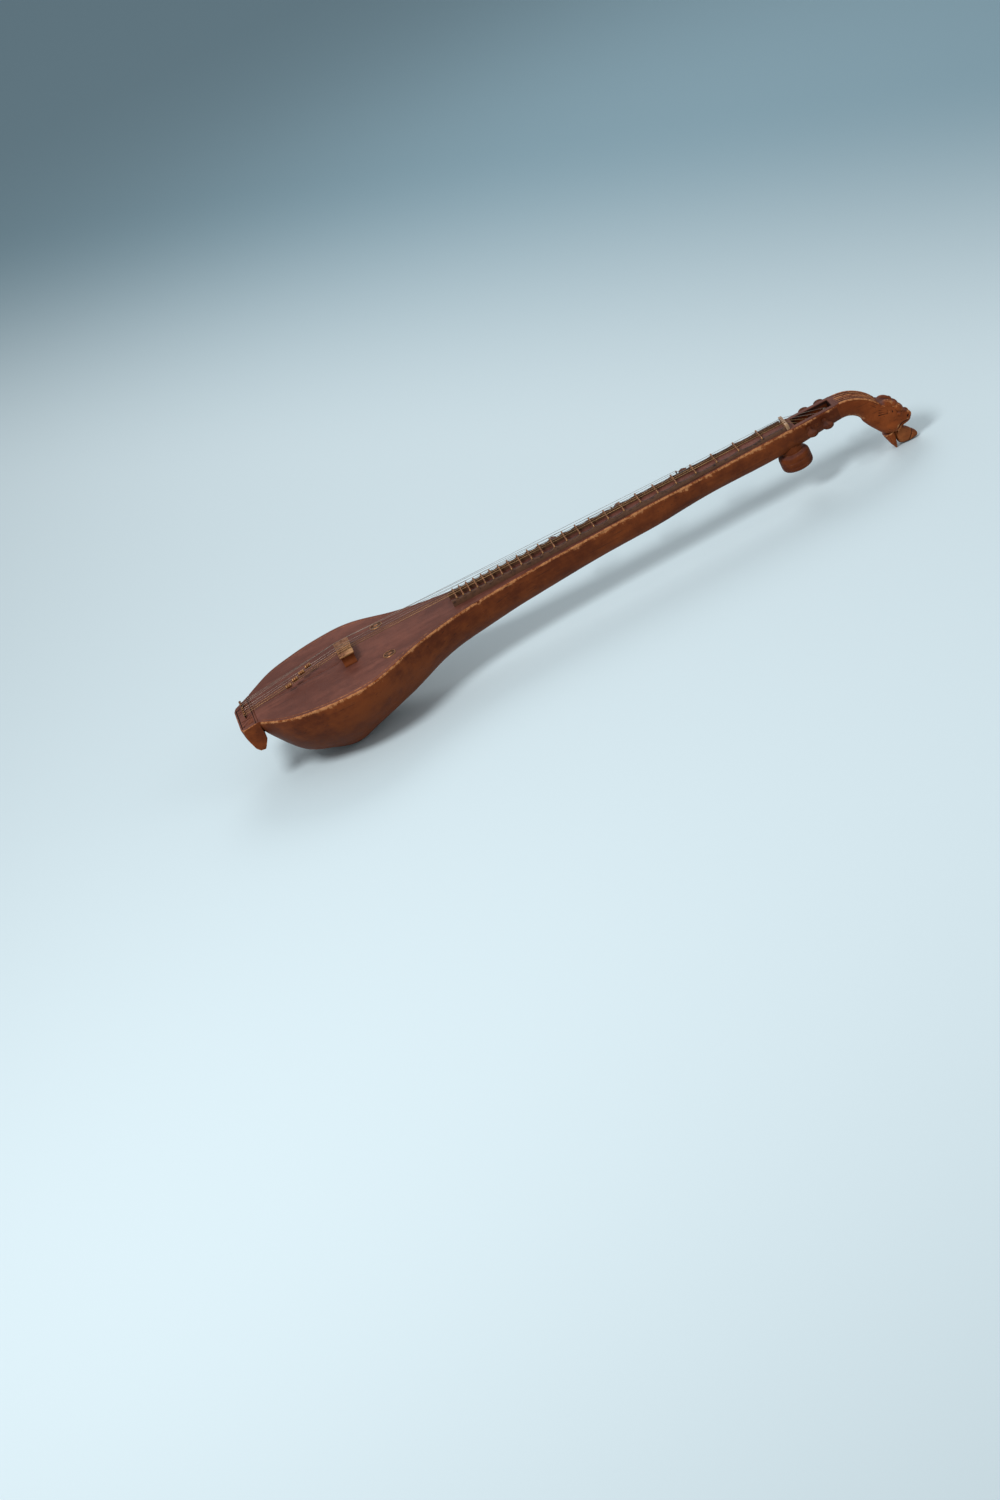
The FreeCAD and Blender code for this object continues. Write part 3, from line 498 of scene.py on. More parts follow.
def read_points(mesh):
    """The places and the normals of a mesh's vertices."""
    points = np.empty(len(mesh.vertices) * 3)
    mesh.vertices.foreach_get("co", points)
    normals = np.empty(len(mesh.vertices) * 3)
    mesh.vertex_normals.foreach_get("vector", normals)
    return points.reshape(-1, 3), normals.reshape(-1, 3)


def mark_wear(mesh, spread=8, reach=0.35, seams=()):
    """Marks where the surface bulges as worn and where it is hollow as sunk. The reach in mm is
    how far it stands out of its own smoothed shape where the mark is full. The marks fade out
    towards each seam, a place and a direction, where the piece meets the next one."""
    points, normals = read_points(mesh)
    count = len(points)
    edges = np.empty(len(mesh.edges) * 2, dtype=np.int64)
    mesh.edges.foreach_get("vertices", edges)
    edges = edges.reshape(-1, 2)
    degree = np.bincount(edges.ravel(), minlength=count).clip(1)
    smooth = points.copy()
    for _ in range(spread):
        total = np.zeros_like(points)
        for axis in range(3):
            total[:, axis] += np.bincount(edges[:, 0], smooth[edges[:, 1], axis], count)
            total[:, axis] += np.bincount(edges[:, 1], smooth[edges[:, 0], axis], count)
        smooth = 0.5 * smooth + 0.5 * total / degree[:, None]
    bulge = ((points - smooth) * normals).sum(axis=1) / (reach * MM)
    for place, direction in seams:
        away = np.abs((points - np.array(place)) @ np.array(direction)) / MM
        bulge *= ((away - 1.5) / 5).clip(0, 1)
    set_attribute(mesh, "worn", bulge.clip(0, 1))
    set_attribute(mesh, "sunk", (-bulge).clip(0, 1))
    return mesh


def end_seams(node):
    """The planes at both ends of a CAD node."""
    return [(corner, ALONG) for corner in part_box(node)]


def as_mesh(bm, name="shape"):
    """The mesh of a bmesh that is no longer needed."""
    mesh = bpy.data.meshes.new(name)
    bm.to_mesh(mesh)
    bm.free()
    return mesh


def joined_turnings(parts):
    """Several turned pieces in one mesh."""
    bm = bmesh.new()
    for part in parts:
        spare = as_mesh(part)
        bm.from_mesh(spare)
        bpy.data.meshes.remove(spare)
    return as_mesh(bm)


def hand_carved(point, depth=0.45, scale=38):
    """How far a tool left the surface under its true shape at a point, in metres."""
    wave = noise.noise(point * scale) * 0.6 + noise.noise(point * scale * 2.7) * 0.4
    return -depth * MM * (0.5 + 0.5 * wave)


# ---------------------------------------------------------------- measured outlines
EDGE = 2.6                      # radius of a board's upper edges, in mm
RIM_LINE = 4.3                  # from that edge in to the line cut along it, in mm
UNDERSIDE_STEPS = 68            # how many parts an underside's section is drawn in


def under_ring(tree, centre, down):
    """The outer wall round an underside, from the near upper edge to the far one."""
    points = []
    for i in range(UNDERSIDE_STEPS + 1):
        angle = math.pi * i / UNDERSIDE_STEPS
        out = down * math.sin(angle) - ACROSS * math.cos(angle)
        hit = outermost(tree, centre, out)
        points.append(hit + out * hand_carved(hit))
    return points


def over_top(level, half, up, relief):
    """From the far side over a rounded edge, back across the top and over the near edge.
    Relief gives how deep the top is cut at a Y, both in mm."""
    arc = [math.radians(angle) for angle in (12, 30, 48, 66, 84)]
    far = [(half - EDGE + EDGE * math.cos(a), EDGE * math.sin(a)) for a in arc]
    inside = half - EDGE
    rim = [inside - gap for gap in (0.4, 1.4, 2.6, 3.7, RIM_LINE, 4.9, 6.0, 8.0)]
    middle = [rim[-1] + (3.0 - rim[-1]) * i / 9 for i in range(1, 9)]
    line = [2.2, 1.5, 1.0, 0.5, 0.0]
    right = rim + middle + line
    columns = right + [-y for y in reversed(right[:-1])]
    top = [(y, EDGE - relief(y)) for y in columns]
    near = [(-y, rise) for y, rise in reversed(far)]
    return [level + (ACROSS * y + up * rise) * MM for y, rise in far + top + near]


def beam_ring(tree, crown, up, relief):
    """A whole section of a solid beam whose top has its middle at the crown."""
    level = crown - up * (EDGE * MM)
    under = under_ring(tree, level, -up)
    half = (under[-1] - under[0]).y / 2 / MM
    return under + over_top(level, half, up, relief)


def across_bores(ring_at, bores, x):
    """The section at an X, drawn straight over any bore that would cut into it."""
    for low, high in bores:
        if low < x < high:
            share = (x - low) / (high - low)
            return [a.lerp(b, share) for a, b in zip(ring_at(low), ring_at(high))]
    return ring_at(x)


def spread_over(start, end, step):
    """Numbers from a start to an end, evenly spaced by about a step."""
    count = max(2, round((end - start) / step))
    return [start + (end - start) * i / count for i in range(count + 1)]


def islands(node):
    """The low and high corner of each separate solid of a CAD node, from the tail on."""
    bm = merged_copy(node)
    boxes = []
    left = set(bm.verts)
    while left:
        reached = [left.pop()]
        for vert in reached:
            fresh = {e.other_vert(vert) for e in vert.link_edges} & left
            left -= fresh
            reached.extend(fresh)
        boxes.append([Vector(pick(v.co[i] for v in reached) for i in range(3))
                      for pick in (min, max)])
    bm.free()
    return sorted(boxes, key=lambda box: (round(box[0].x, 5), box[0].y))


def middle_and_way(node):
    """The middle of a turned CAD node and the direction of its axis."""
    points = np.array([v.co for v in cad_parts[node].data.vertices])
    middle = points.mean(axis=0)
    way = np.linalg.svd(points - middle, full_matrices=False)[2][0]
    return Vector(middle), Vector(way)


# ---------------------------------------------------------------- bowl and neck
def make_shell(node, step, wall, bores=()):
    """A carved trough with a wall in mm, closed at the end where it meets solid wood."""
    tree = cad_tree(node)
    low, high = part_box(node)
    inset = 0.02 * MM
    height = high.z - inset

    def ring_at(x):
        return under_ring(tree, Vector((x, 0, height)), -UP)

    xs = spread_over(low.x + inset, high.x - inset, step * MM)
    bm = drawn([across_bores(ring_at, bores, x) for x in xs], closed=False, capped=False)
    end = xs[0] if node == "bowl" else xs[-1]
    rim = [v for v in bm.verts if abs(v.co.x - end) < 1e-7]
    rim.sort(key=lambda v: math.atan2(v.co.z - height, v.co.y))
    bm.faces.new(rim)
    bmesh.ops.recalc_face_normals(bm, faces=bm.faces)
    far = max(bm.faces, key=lambda f: f.calc_center_median().y)
    if far.normal.y < 0:
        bmesh.ops.reverse_faces(bm, faces=bm.faces)
    bmesh.ops.solidify(bm, geom=bm.faces, thickness=wall * MM)
    return bm


def wide_of(node, by=1.5):
    """The stretch of X that a CAD node takes up, and a little more at both ends."""
    low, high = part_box(node)
    return low.x - by * MM, high.x + by * MM


def cylinder(centre, axis, radius, length, segments=40):
    """A plain cutter about a centre, in mm."""
    bm = bmesh.new()
    turn = axis.to_track_quat("Z", "Y").to_matrix().to_4x4()
    bmesh.ops.create_cone(bm, cap_ends=True, segments=segments, radius1=radius * MM,
                          radius2=radius * MM, depth=length * MM,
                          matrix=Matrix.Translation(centre) @ turn)
    return bm


def box_between(low, high, flare=0.0):
    """A block between two corners, whose top is wider by a flare in mm."""
    bm = bmesh.new()
    bmesh.ops.create_cube(bm, size=1)
    for vert in bm.verts:
        for axis in range(3):
            vert.co[axis] = (low, high)[vert.co[axis] > 0][axis]
    for vert in bm.verts:
        if flare and vert.co.z > (low.z + high.z) / 2:
            middle = (low + high) / 2
            vert.co.x += math.copysign(flare * MM, vert.co.x - middle.x)
            vert.co.y += math.copysign(flare * MM, vert.co.y - middle.y)
    return bm


def cut_away(mesh, cutters):
    """A mesh with the cutters taken out of it one by one."""
    solid = bpy.data.objects.new("solid", mesh)
    bpy.context.scene.collection.objects.link(solid)
    tools = []
    for cutter in cutters:
        tool = bpy.data.objects.new("tool", as_mesh(cutter))
        bpy.context.scene.collection.objects.link(tool)
        tools.append(tool)
        take = solid.modifiers.new("take", "BOOLEAN")
        take.operation = "DIFFERENCE"
        take.solver = "EXACT"
        take.object = tool
    graph = bpy.context.evaluated_depsgraph_get()
    result = bpy.data.meshes.new_from_object(solid.evaluated_get(graph))
    for tool in [solid] + tools:
        bpy.data.objects.remove(tool)
    return result


MAIN_SHAFT = 3.6                # radius of a main peg's shaft, in mm
DRONE_SHAFT = 3.2


def peg_bore(node, fit=0.12):
    """The cutter for the hole that a peg's shaft turns in."""
    low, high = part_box(node)
    shaft = MAIN_SHAFT if node.startswith("main") else DRONE_SHAFT
    middle = (low + high) / 2
    return cylinder(middle, ACROSS, shaft + fit, (high.y - low.y) / MM + 20)


STUD_LOW, STUD_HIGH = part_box("resonator_stud")
STUD_X = (STUD_LOW.x + STUD_HIGH.x) / 2
STUD_CLEAR = 8 * MM
drone_bores = [wide_of(f"drone_peg_{i}", 2.0) for i in (1, 2, 3)]
new_piece("bowl_shell", make_shell("bowl", 4.5, 7), "body", replaces=["bowl"])
neck_bores = drone_bores + [(STUD_X - STUD_CLEAR, STUD_X + STUD_CLEAR)]
neck_mesh = as_mesh(make_shell("neck", 5.0, 6, neck_bores))
neck_mesh = cut_away(neck_mesh, [peg_bore(f"drone_peg_{i}") for i in (1, 2, 3)])
new_piece("neck_trough", neck_mesh, "body", replaces=["neck"])


# ---------------------------------------------------------------- boards
def groove(distance, width, depth):
    """How deep a rounded groove is at a distance from its middle, all in mm."""
    return depth * math.exp(-(distance / width) ** 2)


def board_relief(x, half, centre_line):
    """Cuts of the soundboard's top: a line inside each edge, and a split along the middle."""
    along = (x - TAIL_X) / MM
    wander = 0.35 * noise.noise(Vector((along * 0.05, 3.1, 0)))
    ragged = 0.65 + 0.5 * noise.noise(Vector((along * 0.13, 7.7, 0)))

    def relief(y):
        deep = groove(half - EDGE - RIM_LINE - abs(y), 1.0, 0.55)
        deep += 0.22 * (0.5 + 0.5 * noise.noise(Vector((x * 45, y * 0.045, 1.7))))
        if centre_line:
            deep += groove(y - wander, 1.5, 1.8 * ragged)
        return deep
    return relief


def make_board(node, step, line_end):
    """A board with rounded upper edges, cut with a line inside its rim."""
    tree = cad_tree(node)
    low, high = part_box(node)
    level = high.z - EDGE * MM
    inset = 0.02 * MM
    rings = []
    for x in spread_over(low.x + inset, high.x - inset, step * MM):
        hit = outermost(tree, Vector((x, 0, (low.z + high.z) / 2)), ACROSS)
        half = hit.y / MM
        foot = [Vector((x, y * MM, low.z)) for y in (-half, 0, half)]
        relief = board_relief(x, half, x < line_end)
        rings.append(foot + over_top(Vector((x, 0, level)), half, UP, relief))
    return mark_wear(as_mesh(drawn(rings)), 8, 0.45, end_seams(node))


BRIDGE_LOW, BRIDGE_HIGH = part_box("bridge")
new_piece("soundboard_top", make_board("soundboard", 3.0, BRIDGE_LOW.x - 8 * MM), "board",
          replaces=["soundboard"])
new_piece("fingerboard_top", make_board("fingerboard", 4.0, TAIL_X), "board",
          replaces=["fingerboard"])


# ---------------------------------------------------------------- tail block
def incise(mesh, strokes, width, depth, base=(0, 0, 0)):
    """Cuts lines into a fine mesh. A stroke is a row of points from a base, and the cut goes
    inwards by up to a depth where the surface is nearer than a width; all but the base in mm."""
    points, normals = read_points(mesh)
    points = (points - np.array(base)) / MM
    nearest = np.full(len(points), 1e9)
    for stroke in strokes:
        for start, end in zip(stroke, stroke[1:]):
            start = np.array(start, dtype=float)
            run = np.array(end, dtype=float) - start
            share = ((points - start) @ run / max(run @ run, 1e-9)).clip(0, 1)
            gap = np.linalg.norm(points - start - share[:, None] * run, axis=1)
            nearest = np.minimum(nearest, gap)
    cut = depth * np.exp(-(nearest / width) ** 2)
    points -= normals * cut[:, None]
    mesh.vertices.foreach_set("co", (points * MM + np.array(base)).ravel())
    mesh.update()
    return mesh


def roughen(mesh, depth, scale):
    """Works the surface inwards by a gentle noise, as if cut by hand. The depth is in mm."""
    for vert in mesh.vertices:
        vert.co += vert.normal * hand_carved(vert.co, depth, scale)
    mesh.update()
    return mesh


DECK_FALL = 8.0                 # how much lower the block's top is at its tail end, in mm
TAIL_LEAN = 2.16 / 17           # how far the tail face comes in for each mm that it goes down


def make_tail_block():
    """A sloping block with a hook under it, cut with lines, fans, crosses and a hatched band."""
    low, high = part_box("tail_block")
    bm = merged_copy("tail_block")
    for pin_low, pin_high in islands("string_pins"):
        middle = (pin_low + pin_high) / 2
        plug = cylinder(Vector((middle.x, middle.y, pin_low.z + 3.2 * MM)), UP, 1.7, 7.0, 16)
        bm.from_mesh(as_mesh(plug))
    mesh = remeshed(bm, 0.85, 5)
    front, back = high.x / MM, low.x / MM
    top = high.z / MM
    half = high.y / MM

    def deck(x, y):
        return (x, y, top - DECK_FALL * (front - x) / (front - back))

    def tail_face(y, z):
        return (back + TAIL_LEAN * (top - DECK_FALL - z), y, z)

    strokes = [[deck(front - 2.4, -half + 6), deck(front - 2.4, half - 6)],
               [deck(front - 5.6, -half + 5), deck(front - 5.6, half - 5)],
               [deck(back + 4.0, -40), deck(back + 4.0, 40)]]
    for middle in (-36, 36):
        for lean in (-9, -4.5, 0, 4.5, 9):
            strokes.append([deck(back + 7, middle + lean * 0.2), deck(front - 8, middle + lean)])
    for middle in (-20, 20):
        strokes.append([deck(back + 7, middle - 5), deck(front - 8, middle + 5)])
        strokes.append([deck(back + 7, middle + 5), deck(front - 8, middle - 5)])
    strokes.append([tail_face(-40, top - 15), tail_face(40, top - 15)])
    incise(mesh, strokes, 1.0, 1.5)
    hatch = [[tail_face(y, top - 20), tail_face(y + 4, top - 30)] for y in range(-36, 36, 8)]
    hatch += [[tail_face(y + 4, top - 20), tail_face(y, top - 30)] for y in range(-36, 36, 8)]
    incise(mesh, hatch, 0.7, 0.8)
    front_seam = (high, ALONG)
    return mark_wear(roughen(mesh, 0.5, 60), 30, 0.6, [front_seam])


new_piece("tail_hook", make_tail_block(), "tail", replaces=["tail_block"])


# ---------------------------------------------------------------- peg box and scroll
WELL_HALF = 14.5                # half the width of the well for the windings, in mm
WELL_DEEP = 24.0
WELL_END = 6.0                  # wood left at each end of the well
WELL_RIM = 2.4                  # how far the well's upper edge is opened out


def uncut(y):
    """The relief of a top with nothing cut into it."""
    return 0.0


def make_peg_box():
    """A solid box with a long well for the windings and bores for the pegs."""
    tree = cad_tree("peg_box")
    low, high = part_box("peg_box")
    inset = 0.02 * MM
    bores = [(wide_of("main_peg_1")[0], wide_of("main_peg_4")[1])]

    def ring_at(x):
        return beam_ring(tree, Vector((x, 0, high.z)), UP, uncut)

    xs = spread_over(low.x + inset, high.x - inset, 3.0 * MM)
    mesh = as_mesh(drawn([across_bores(ring_at, bores, x) for x in xs]))
    well_low = Vector((low.x + WELL_END * MM, -WELL_HALF * MM, high.z - WELL_DEEP * MM))
    well_high = Vector((high.x - WELL_END * MM, WELL_HALF * MM, high.z + 1 * MM))
    rim_low = Vector((well_low.x, well_low.y, high.z - 1.4 * MM))
    cutters = [box_between(well_low, well_high), box_between(rim_low, well_high, WELL_RIM)]
    cutters += [peg_bore(f"main_peg_{i}") for i in (1, 2, 3, 4)]
    return mark_wear(cut_away(mesh, cutters), 3, 1.1, end_seams("peg_box"))


new_piece("peg_well", make_peg_box(), "body", replaces=["peg_box"])

SCROLL_STRAIGHT = 4.0           # how far the scroll's top runs level before it bends, in mm
ELBOW_DROP = 80.0               # the scroll's top runs round the elbow at this radius, in mm
ELBOW_TURN = math.radians(60.0)
ELBOW = Vector((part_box("scroll")[0].x + SCROLL_STRAIGHT * MM, 0, TOP - ELBOW_DROP * MM))
FLUTES = (-15.5, -7.8, 0.0, 7.8, 15.5)      # where the hollows run along the scroll's top


def flutes(fade):
    """Hollows between raised lines along the top of the scroll."""
    def relief(y):
        return fade * sum(groove(y - middle, 2.5, 1.9) for middle in FLUTES)
    return relief


def scroll_ring(tree, millimetres):
    """The scroll's section at a distance past its start along the top."""
    if millimetres < SCROLL_STRAIGHT:
        up = UP
        crown = ELBOW + up * (ELBOW_DROP * MM) - ALONG * ((SCROLL_STRAIGHT - millimetres) * MM)
    else:
        turn = (millimetres - SCROLL_STRAIGHT) / ELBOW_DROP
        up = ALONG * math.sin(turn) + UP * math.cos(turn)
        crown = ELBOW + up * (ELBOW_DROP * MM)
    return beam_ring(tree, crown, up, flutes(min(1.0, millimetres / 16)))


def make_scroll():
    """The curved neck of the beast: fluted on top, with three curved lines cut on each side."""
    tree = cad_tree("scroll")
    length = SCROLL_STRAIGHT + ELBOW_DROP * ELBOW_TURN
    mesh = as_mesh(drawn([scroll_ring(tree, d) for d in spread_over(0.05, length - 0.1, 1.8)]))
    strokes = []
    for side in (-1, 1):
        for radius in (76.5, 73.5, 70.5):
            arc = [math.radians(a) for a in range(14, 62, 4)]
            strokes.append([(ELBOW.x / MM + radius * math.sin(a), side * 24.6,
                             ELBOW.z / MM + radius * math.cos(a)) for a in arc])
    incise(mesh, strokes, 1.0, 0.9)
    way_at_end = ALONG * math.cos(ELBOW_TURN) - UP * math.sin(ELBOW_TURN)
    return mark_wear(mesh, 14, 0.32, [end_seams("scroll")[0], (ELBOW, way_at_end)])


new_piece("scroll_neck", make_scroll(), "carving", replaces=["scroll"])


# ---------------------------------------------------------------- beast head
HEAD_BASE = Vector((ELBOW.x, 0, 0))     # on the floor under the elbow; the head is set out from it


def signed_power(value, power):
    """A power of a number that keeps the number's sign."""
    return math.copysign(abs(value) ** power, value)


def egg_ring(row, count=56):
    """One section of a carved form from its row of numbers: the X and Z of its crown and of its
    underside from the base, half its width, where it is widest as a share of the way down, and
    the squareness over and under that place."""
    crown = Vector((row[0], 0, row[1]))
    under = Vector((row[2], 0, row[3]))
    half, widest, square_over, square_under = row[4:]
    points = []
    for i in range(count):
        angle = math.tau * i / count
        high = math.sin(angle) >= 0
        power = 2 / (square_over if high else square_under)
        across = half * signed_power(math.cos(angle), power)
        rise = signed_power(math.sin(angle), power) * (widest if high else 1 - widest)
        place = crown + (under - crown) * (widest - rise) + ACROSS * across
        points.append(HEAD_BASE + place * MM)
    return points


def swept(rows, steps=6):
    """A closed form through sections, eased from each one to the next."""
    rings = [egg_ring(rows[0])]
    rows = [rows[0]] + list(rows) + [rows[-1]]
    for a, b, c, d in zip(rows, rows[1:], rows[2:], rows[3:]):
        for i in range(1, steps + 1):
            t = i / steps
            eased = [0.5 * (2 * q + (r - p) * t + (2 * p - 5 * q + 4 * r - s) * t * t
                            + (3 * q - p - 3 * r + s) * t ** 3)
                     for p, q, r, s in zip(a, b, c, d)]
            rings.append(egg_ring(eased))
    return drawn(rings)


HEAD_ROWS = (
    (67.5, 96.4, 30.5, 75.6, 23.9, 0.06, 2.4, 2.6),
    (73.0, 95.0, 34.0, 68.0, 23.9, 0.09, 2.4, 2.6),
    (81.5, 91.5, 40.0, 58.0, 23.9, 0.20, 2.4, 2.6),
    (89.5, 86.5, 46.5, 48.5, 23.5, 0.32, 2.3, 2.7),
    (96.0, 80.0, 53.5, 38.5, 22.4, 0.38, 2.2, 2.7),
    (100.5, 73.0, 61.5, 31.5, 21.0, 0.42, 2.2, 2.6),
    (103.5, 65.5, 73.0, 29.8, 19.2, 0.45, 2.2, 2.5),
    (107.5, 58.5, 83.0, 31.0, 17.2, 0.46, 2.1, 2.4),
    (111.5, 51.5, 92.0, 33.0, 15.4, 0.48, 2.1, 2.3),
    (113.5, 45.5, 99.5, 34.5, 12.8, 0.50, 2.1, 2.2),
    (112.0, 41.0, 105.5, 35.5, 8.6, 0.50, 2.0, 2.0),
)
JAW_ROWS = (
    (75.0, 33.0, 53.8, 31.5, 14.0, 0.50, 2.6, 2.4),
    (74.0, 27.0, 55.3, 26.0, 14.0, 0.50, 2.8, 2.4),
    (72.5, 19.0, 58.0, 18.0, 13.2, 0.50, 3.0, 2.4),
    (71.0, 10.0, 61.2, 9.0, 11.4, 0.50, 3.2, 2.6),
    (69.5, 3.5, 64.2, 3.0, 9.2, 0.50, 3.2, 2.8),
    (69.0, 0.0, 65.6, 0.0, 8.0, 0.50, 3.2, 3.0),
)
TONGUE_ROWS = (
    (85.0, 36.0, 72.5, 18.0, 11.0, 0.45, 2.5, 2.5),
    (92.0, 31.0, 73.6, 8.5, 11.6, 0.42, 2.5, 2.5),
    (98.5, 25.0, 77.5, 3.0, 11.8, 0.42, 2.4, 2.5),
    (104.5, 18.5, 85.5, 0.8, 11.6, 0.42, 2.3, 2.4),
    (109.5, 12.0, 95.5, 0.4, 10.6, 0.44, 2.2, 2.3),
    (111.8, 7.4, 104.5, 1.2, 8.0, 0.48, 2.1, 2.2),
    (111.4, 5.6, 107.6, 3.0, 4.0, 0.50, 2.0, 2.0),
)


def head_point(place):
    """A point from its distances to the base, in mm."""
    return HEAD_BASE + Vector(place) * MM


def ball(bm, centre, radii, lean=0.0):
    """Adds an egg to a form, in mm from the base. It leans forward by an angle in degrees."""
    turn = Matrix.Rotation(math.radians(lean), 4, "Y")
    stretch = Matrix.Diagonal((*(Vector(radii) * MM), 1))
    bmesh.ops.create_uvsphere(bm, u_segments=28, v_segments=18, radius=1,
                              matrix=Matrix.Translation(head_point(centre)) @ turn @ stretch)


def side_curve(points, y):
    """A stroke on one cheek, from the X and Z of its points."""
    return [(x, y, z) for x, z in points]


def make_head():
    """Broad cheeks, a brow that runs down to the snout, nostrils and an upper lip."""
    bm = swept(HEAD_ROWS)
    for side in (-1, 1):
        ball(bm, (82.5, side * 12.5, 87.5), (13.0, 7.5, 7.2), 32)
        ball(bm, (94.5, side * 12.0, 72.0), (12.0, 8.5, 8.0), 55)
        ball(bm, (107.5, side * 7.2, 49.5), (8.2, 6.4, 7.4), 55)
        ball(bm, (75.0, side * 15.0, 47.0), (17.0, 8.2, 13.5), 35)
    ball(bm, (98.0, 0, 66.0), (12.0, 8.0, 8.0), 60)
    mesh = remeshed(bm, 0.95, 9)
    strokes = []
    for side in (-1, 1):
        y = side * 23.2
        for k in range(5):
            strokes.append(side_curve([(66.5 - 2.2 * k, 95.0 - 4.2 * k),
                                       (71.5 - 1.4 * k, 88.5 - 3.0 * k),
                                       (76.0 - 0.6 * k, 79.5 - 1.4 * k)], y))
    incise(mesh, strokes, 0.95, 1.5, HEAD_BASE)
    lines = []
    for side in (-1, 1):
        lines.append([(83.0, side * 21.5, 90.5), (86.0, side * 22.8, 81.0),
                      (84.0, side * 23.4, 72.0)])
        lines.append([(109.0, side * 13.5, 38.5), (98.0, side * 16.8, 41.5),
                      (87.0, side * 20.0, 41.0), (80.0, side * 21.6, 36.5)])
        lines.append(side_curve([(35.0, 72.0), (43.5, 56.0), (51.5, 41.0), (59.0, 31.0)],
                                side * 15.5))
    incise(mesh, lines, 1.8, 2.6, HEAD_BASE)
    nostrils = [[(110.5, side * 11.0, 50.5), (106.0, side * 13.6, 48.0)] for side in (-1, 1)]
    incise(mesh, nostrils, 1.5, 2.4, HEAD_BASE)
    crown_x, crown_z = HEAD_ROWS[0][:2]
    seam = (head_point((crown_x, 0, crown_z)), Vector((0.5, 0, -0.866)))
    return mark_wear(roughen(mesh, 0.5, 70), 40, 0.75, [seam])


def make_jaw():
    """A pointed jaw that rests on the floor, with three folds cut on each side."""
    mesh = remeshed(swept(JAW_ROWS), 0.9, 3)
    for vert in mesh.vertices:
        vert.co.z = max(vert.co.z, 0.0)
    strokes = [[(71.5 - k * 3.2, side * 13.2, 27.0 - k), (69.5 - k * 2.2, side * 11.4, 9.0)]
               for k in (1, 2, 3) for side in (-1, 1)]
    return mark_wear(incise(mesh, strokes, 0.8, 0.9, HEAD_BASE), 20, 0.6)


def make_tongue():
    """A thick tongue with a ring cut round it near its tip and a channel along it."""
    bm = swept(TONGUE_ROWS)
    ball(bm, (78.0, 0, 24.0), (7.0, 9.0, 9.0))
    mesh = remeshed(bm, 0.9, 4)
    ring = [(97.4 + 8.0 * math.cos(a), 11.6 * math.sin(a), 9.6 + 9.4 * math.cos(a))
            for a in (math.tau * i / 28 for i in range(29))]
    incise(mesh, [ring], 1.1, 1.3, HEAD_BASE)
    channel = [(87.0, 0, 34.0), (95.0, 0, 28.5), (103.0, 0, 20.5)]
    incise(mesh, [channel], 1.2, 0.8, HEAD_BASE)
    return mark_wear(mesh, 20, 0.6)


new_piece("head_carving", make_head(), "carving", replaces=["beast_head"])
new_piece("jaw_carving", make_jaw(), "carving", replaces=["beast_jaw"])
new_piece("tongue_carving", make_tongue(), "tongue", replaces=["beast_tongue"])


# Turned outlines of an ear, a knob with two cut rings, and of an eye with its lid and its pupil.
EAR = ((0, -3), (6.4, -3), (6.8, -1.0), (6.5, 0.6), (5.7, 1.1), (5.4, 1.5), (5.5, 2.0), (5.1, 3.1),
       (4.2, 3.8), (3.7, 3.8), (3.5, 4.2), (3.0, 4.9), (1.9, 5.4), (0.7, 5.7), (0, 5.7))
EYE = ((0, -2.5), (4.4, -2.5), (4.4, 0.0), (4.1, 0.9), (3.5, 1.3), (3.0, 0.9), (2.8, 0.9),
       (2.6, 1.5), (2.1, 2.1), (1.2, 2.4), (1.0, 2.0), (0.5, 1.8), (0, 1.8))


def make_pair(profile, centre, way):
    """A turned form on both sides of the head. Its centre and its way out are the far side's."""
    parts = []
    for side in (-1, 1):
        axis = Vector((way[0], side * way[1], way[2])).normalized()
        parts.append(turned(profile, head_point((centre[0], side * centre[1], centre[2])), axis))
    return joined_turnings(parts)


ears = make_pair(EAR, (90.5, 13.2, 82.4), (0.35, 0.45, 0.82))
new_piece("ear_knobs", mark_wear(ears, 3, 0.6), "carving",
          replaces=["beast_ears"])
eyes = make_pair(EYE, (93.0, 19.4, 61.5), (0.30, 0.92, 0.18))
new_piece("eye_beads", mark_wear(eyes, 2, 0.5), "carving", replaces=["beast_eyes"])


# ---------------------------------------------------------------- bridge, nut and frets
def make_bridge():
    """A standing bridge with an arch between its flared feet and a sunk panel on each face."""
    arch = [(18 * math.cos(math.pi * i / 16), 11.8 * math.sin(math.pi * i / 16))
            for i in range(17)]
    flank = [(32, 0), (32, 2.2), (30.6, 4.6), (29.8, 8.5), (30.2, 12.5), (31.4, 15.5), (31.8, 19)]
    outline = arch[::-1] + flank + [(-y, z) for y, z in flank[::-1]]
    back = BRIDGE_LOW.x
    corners = [Vector((back, y * MM, TOP + z * MM)) for y, z in outline]
    bm = extruded(corners, ALONG * (BRIDGE_HIGH.x - back))
    bm.normal_update()
    faces = [f for f in bm.faces if abs(f.normal.x) > 0.9]
    bmesh.ops.inset_region(bm, faces=faces, thickness=1.5 * MM, depth=-0.45 * MM,
                           use_even_offset=True)
    return mark_wear(as_mesh(bevelled(bm, 0.55, 2, 35)), 3, 0.3)


def make_bridge_plate():
    """A brass plate with rounded corners and softened edges."""
    low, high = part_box("bridge_plate")
    bm = box_between(low, high)
    uprights = [e for e in bm.edges if abs(e.verts[0].co.z - e.verts[1].co.z) > 1 * MM]
    bmesh.ops.bevel(bm, geom=uprights, offset=2 * MM, offset_type="OFFSET", segments=5,
                    profile=0.5, affect="EDGES", material=-1, clamp_overlap=True)
    return mark_wear(as_mesh(bevelled(bm, 0.6, 3, 50)), 3, 0.25)


DRONE_ARCH = 19.9               # outer radius of the drone strings' bridge, in mm
DRONE_STRIP = 2.8               # thickness of its strip


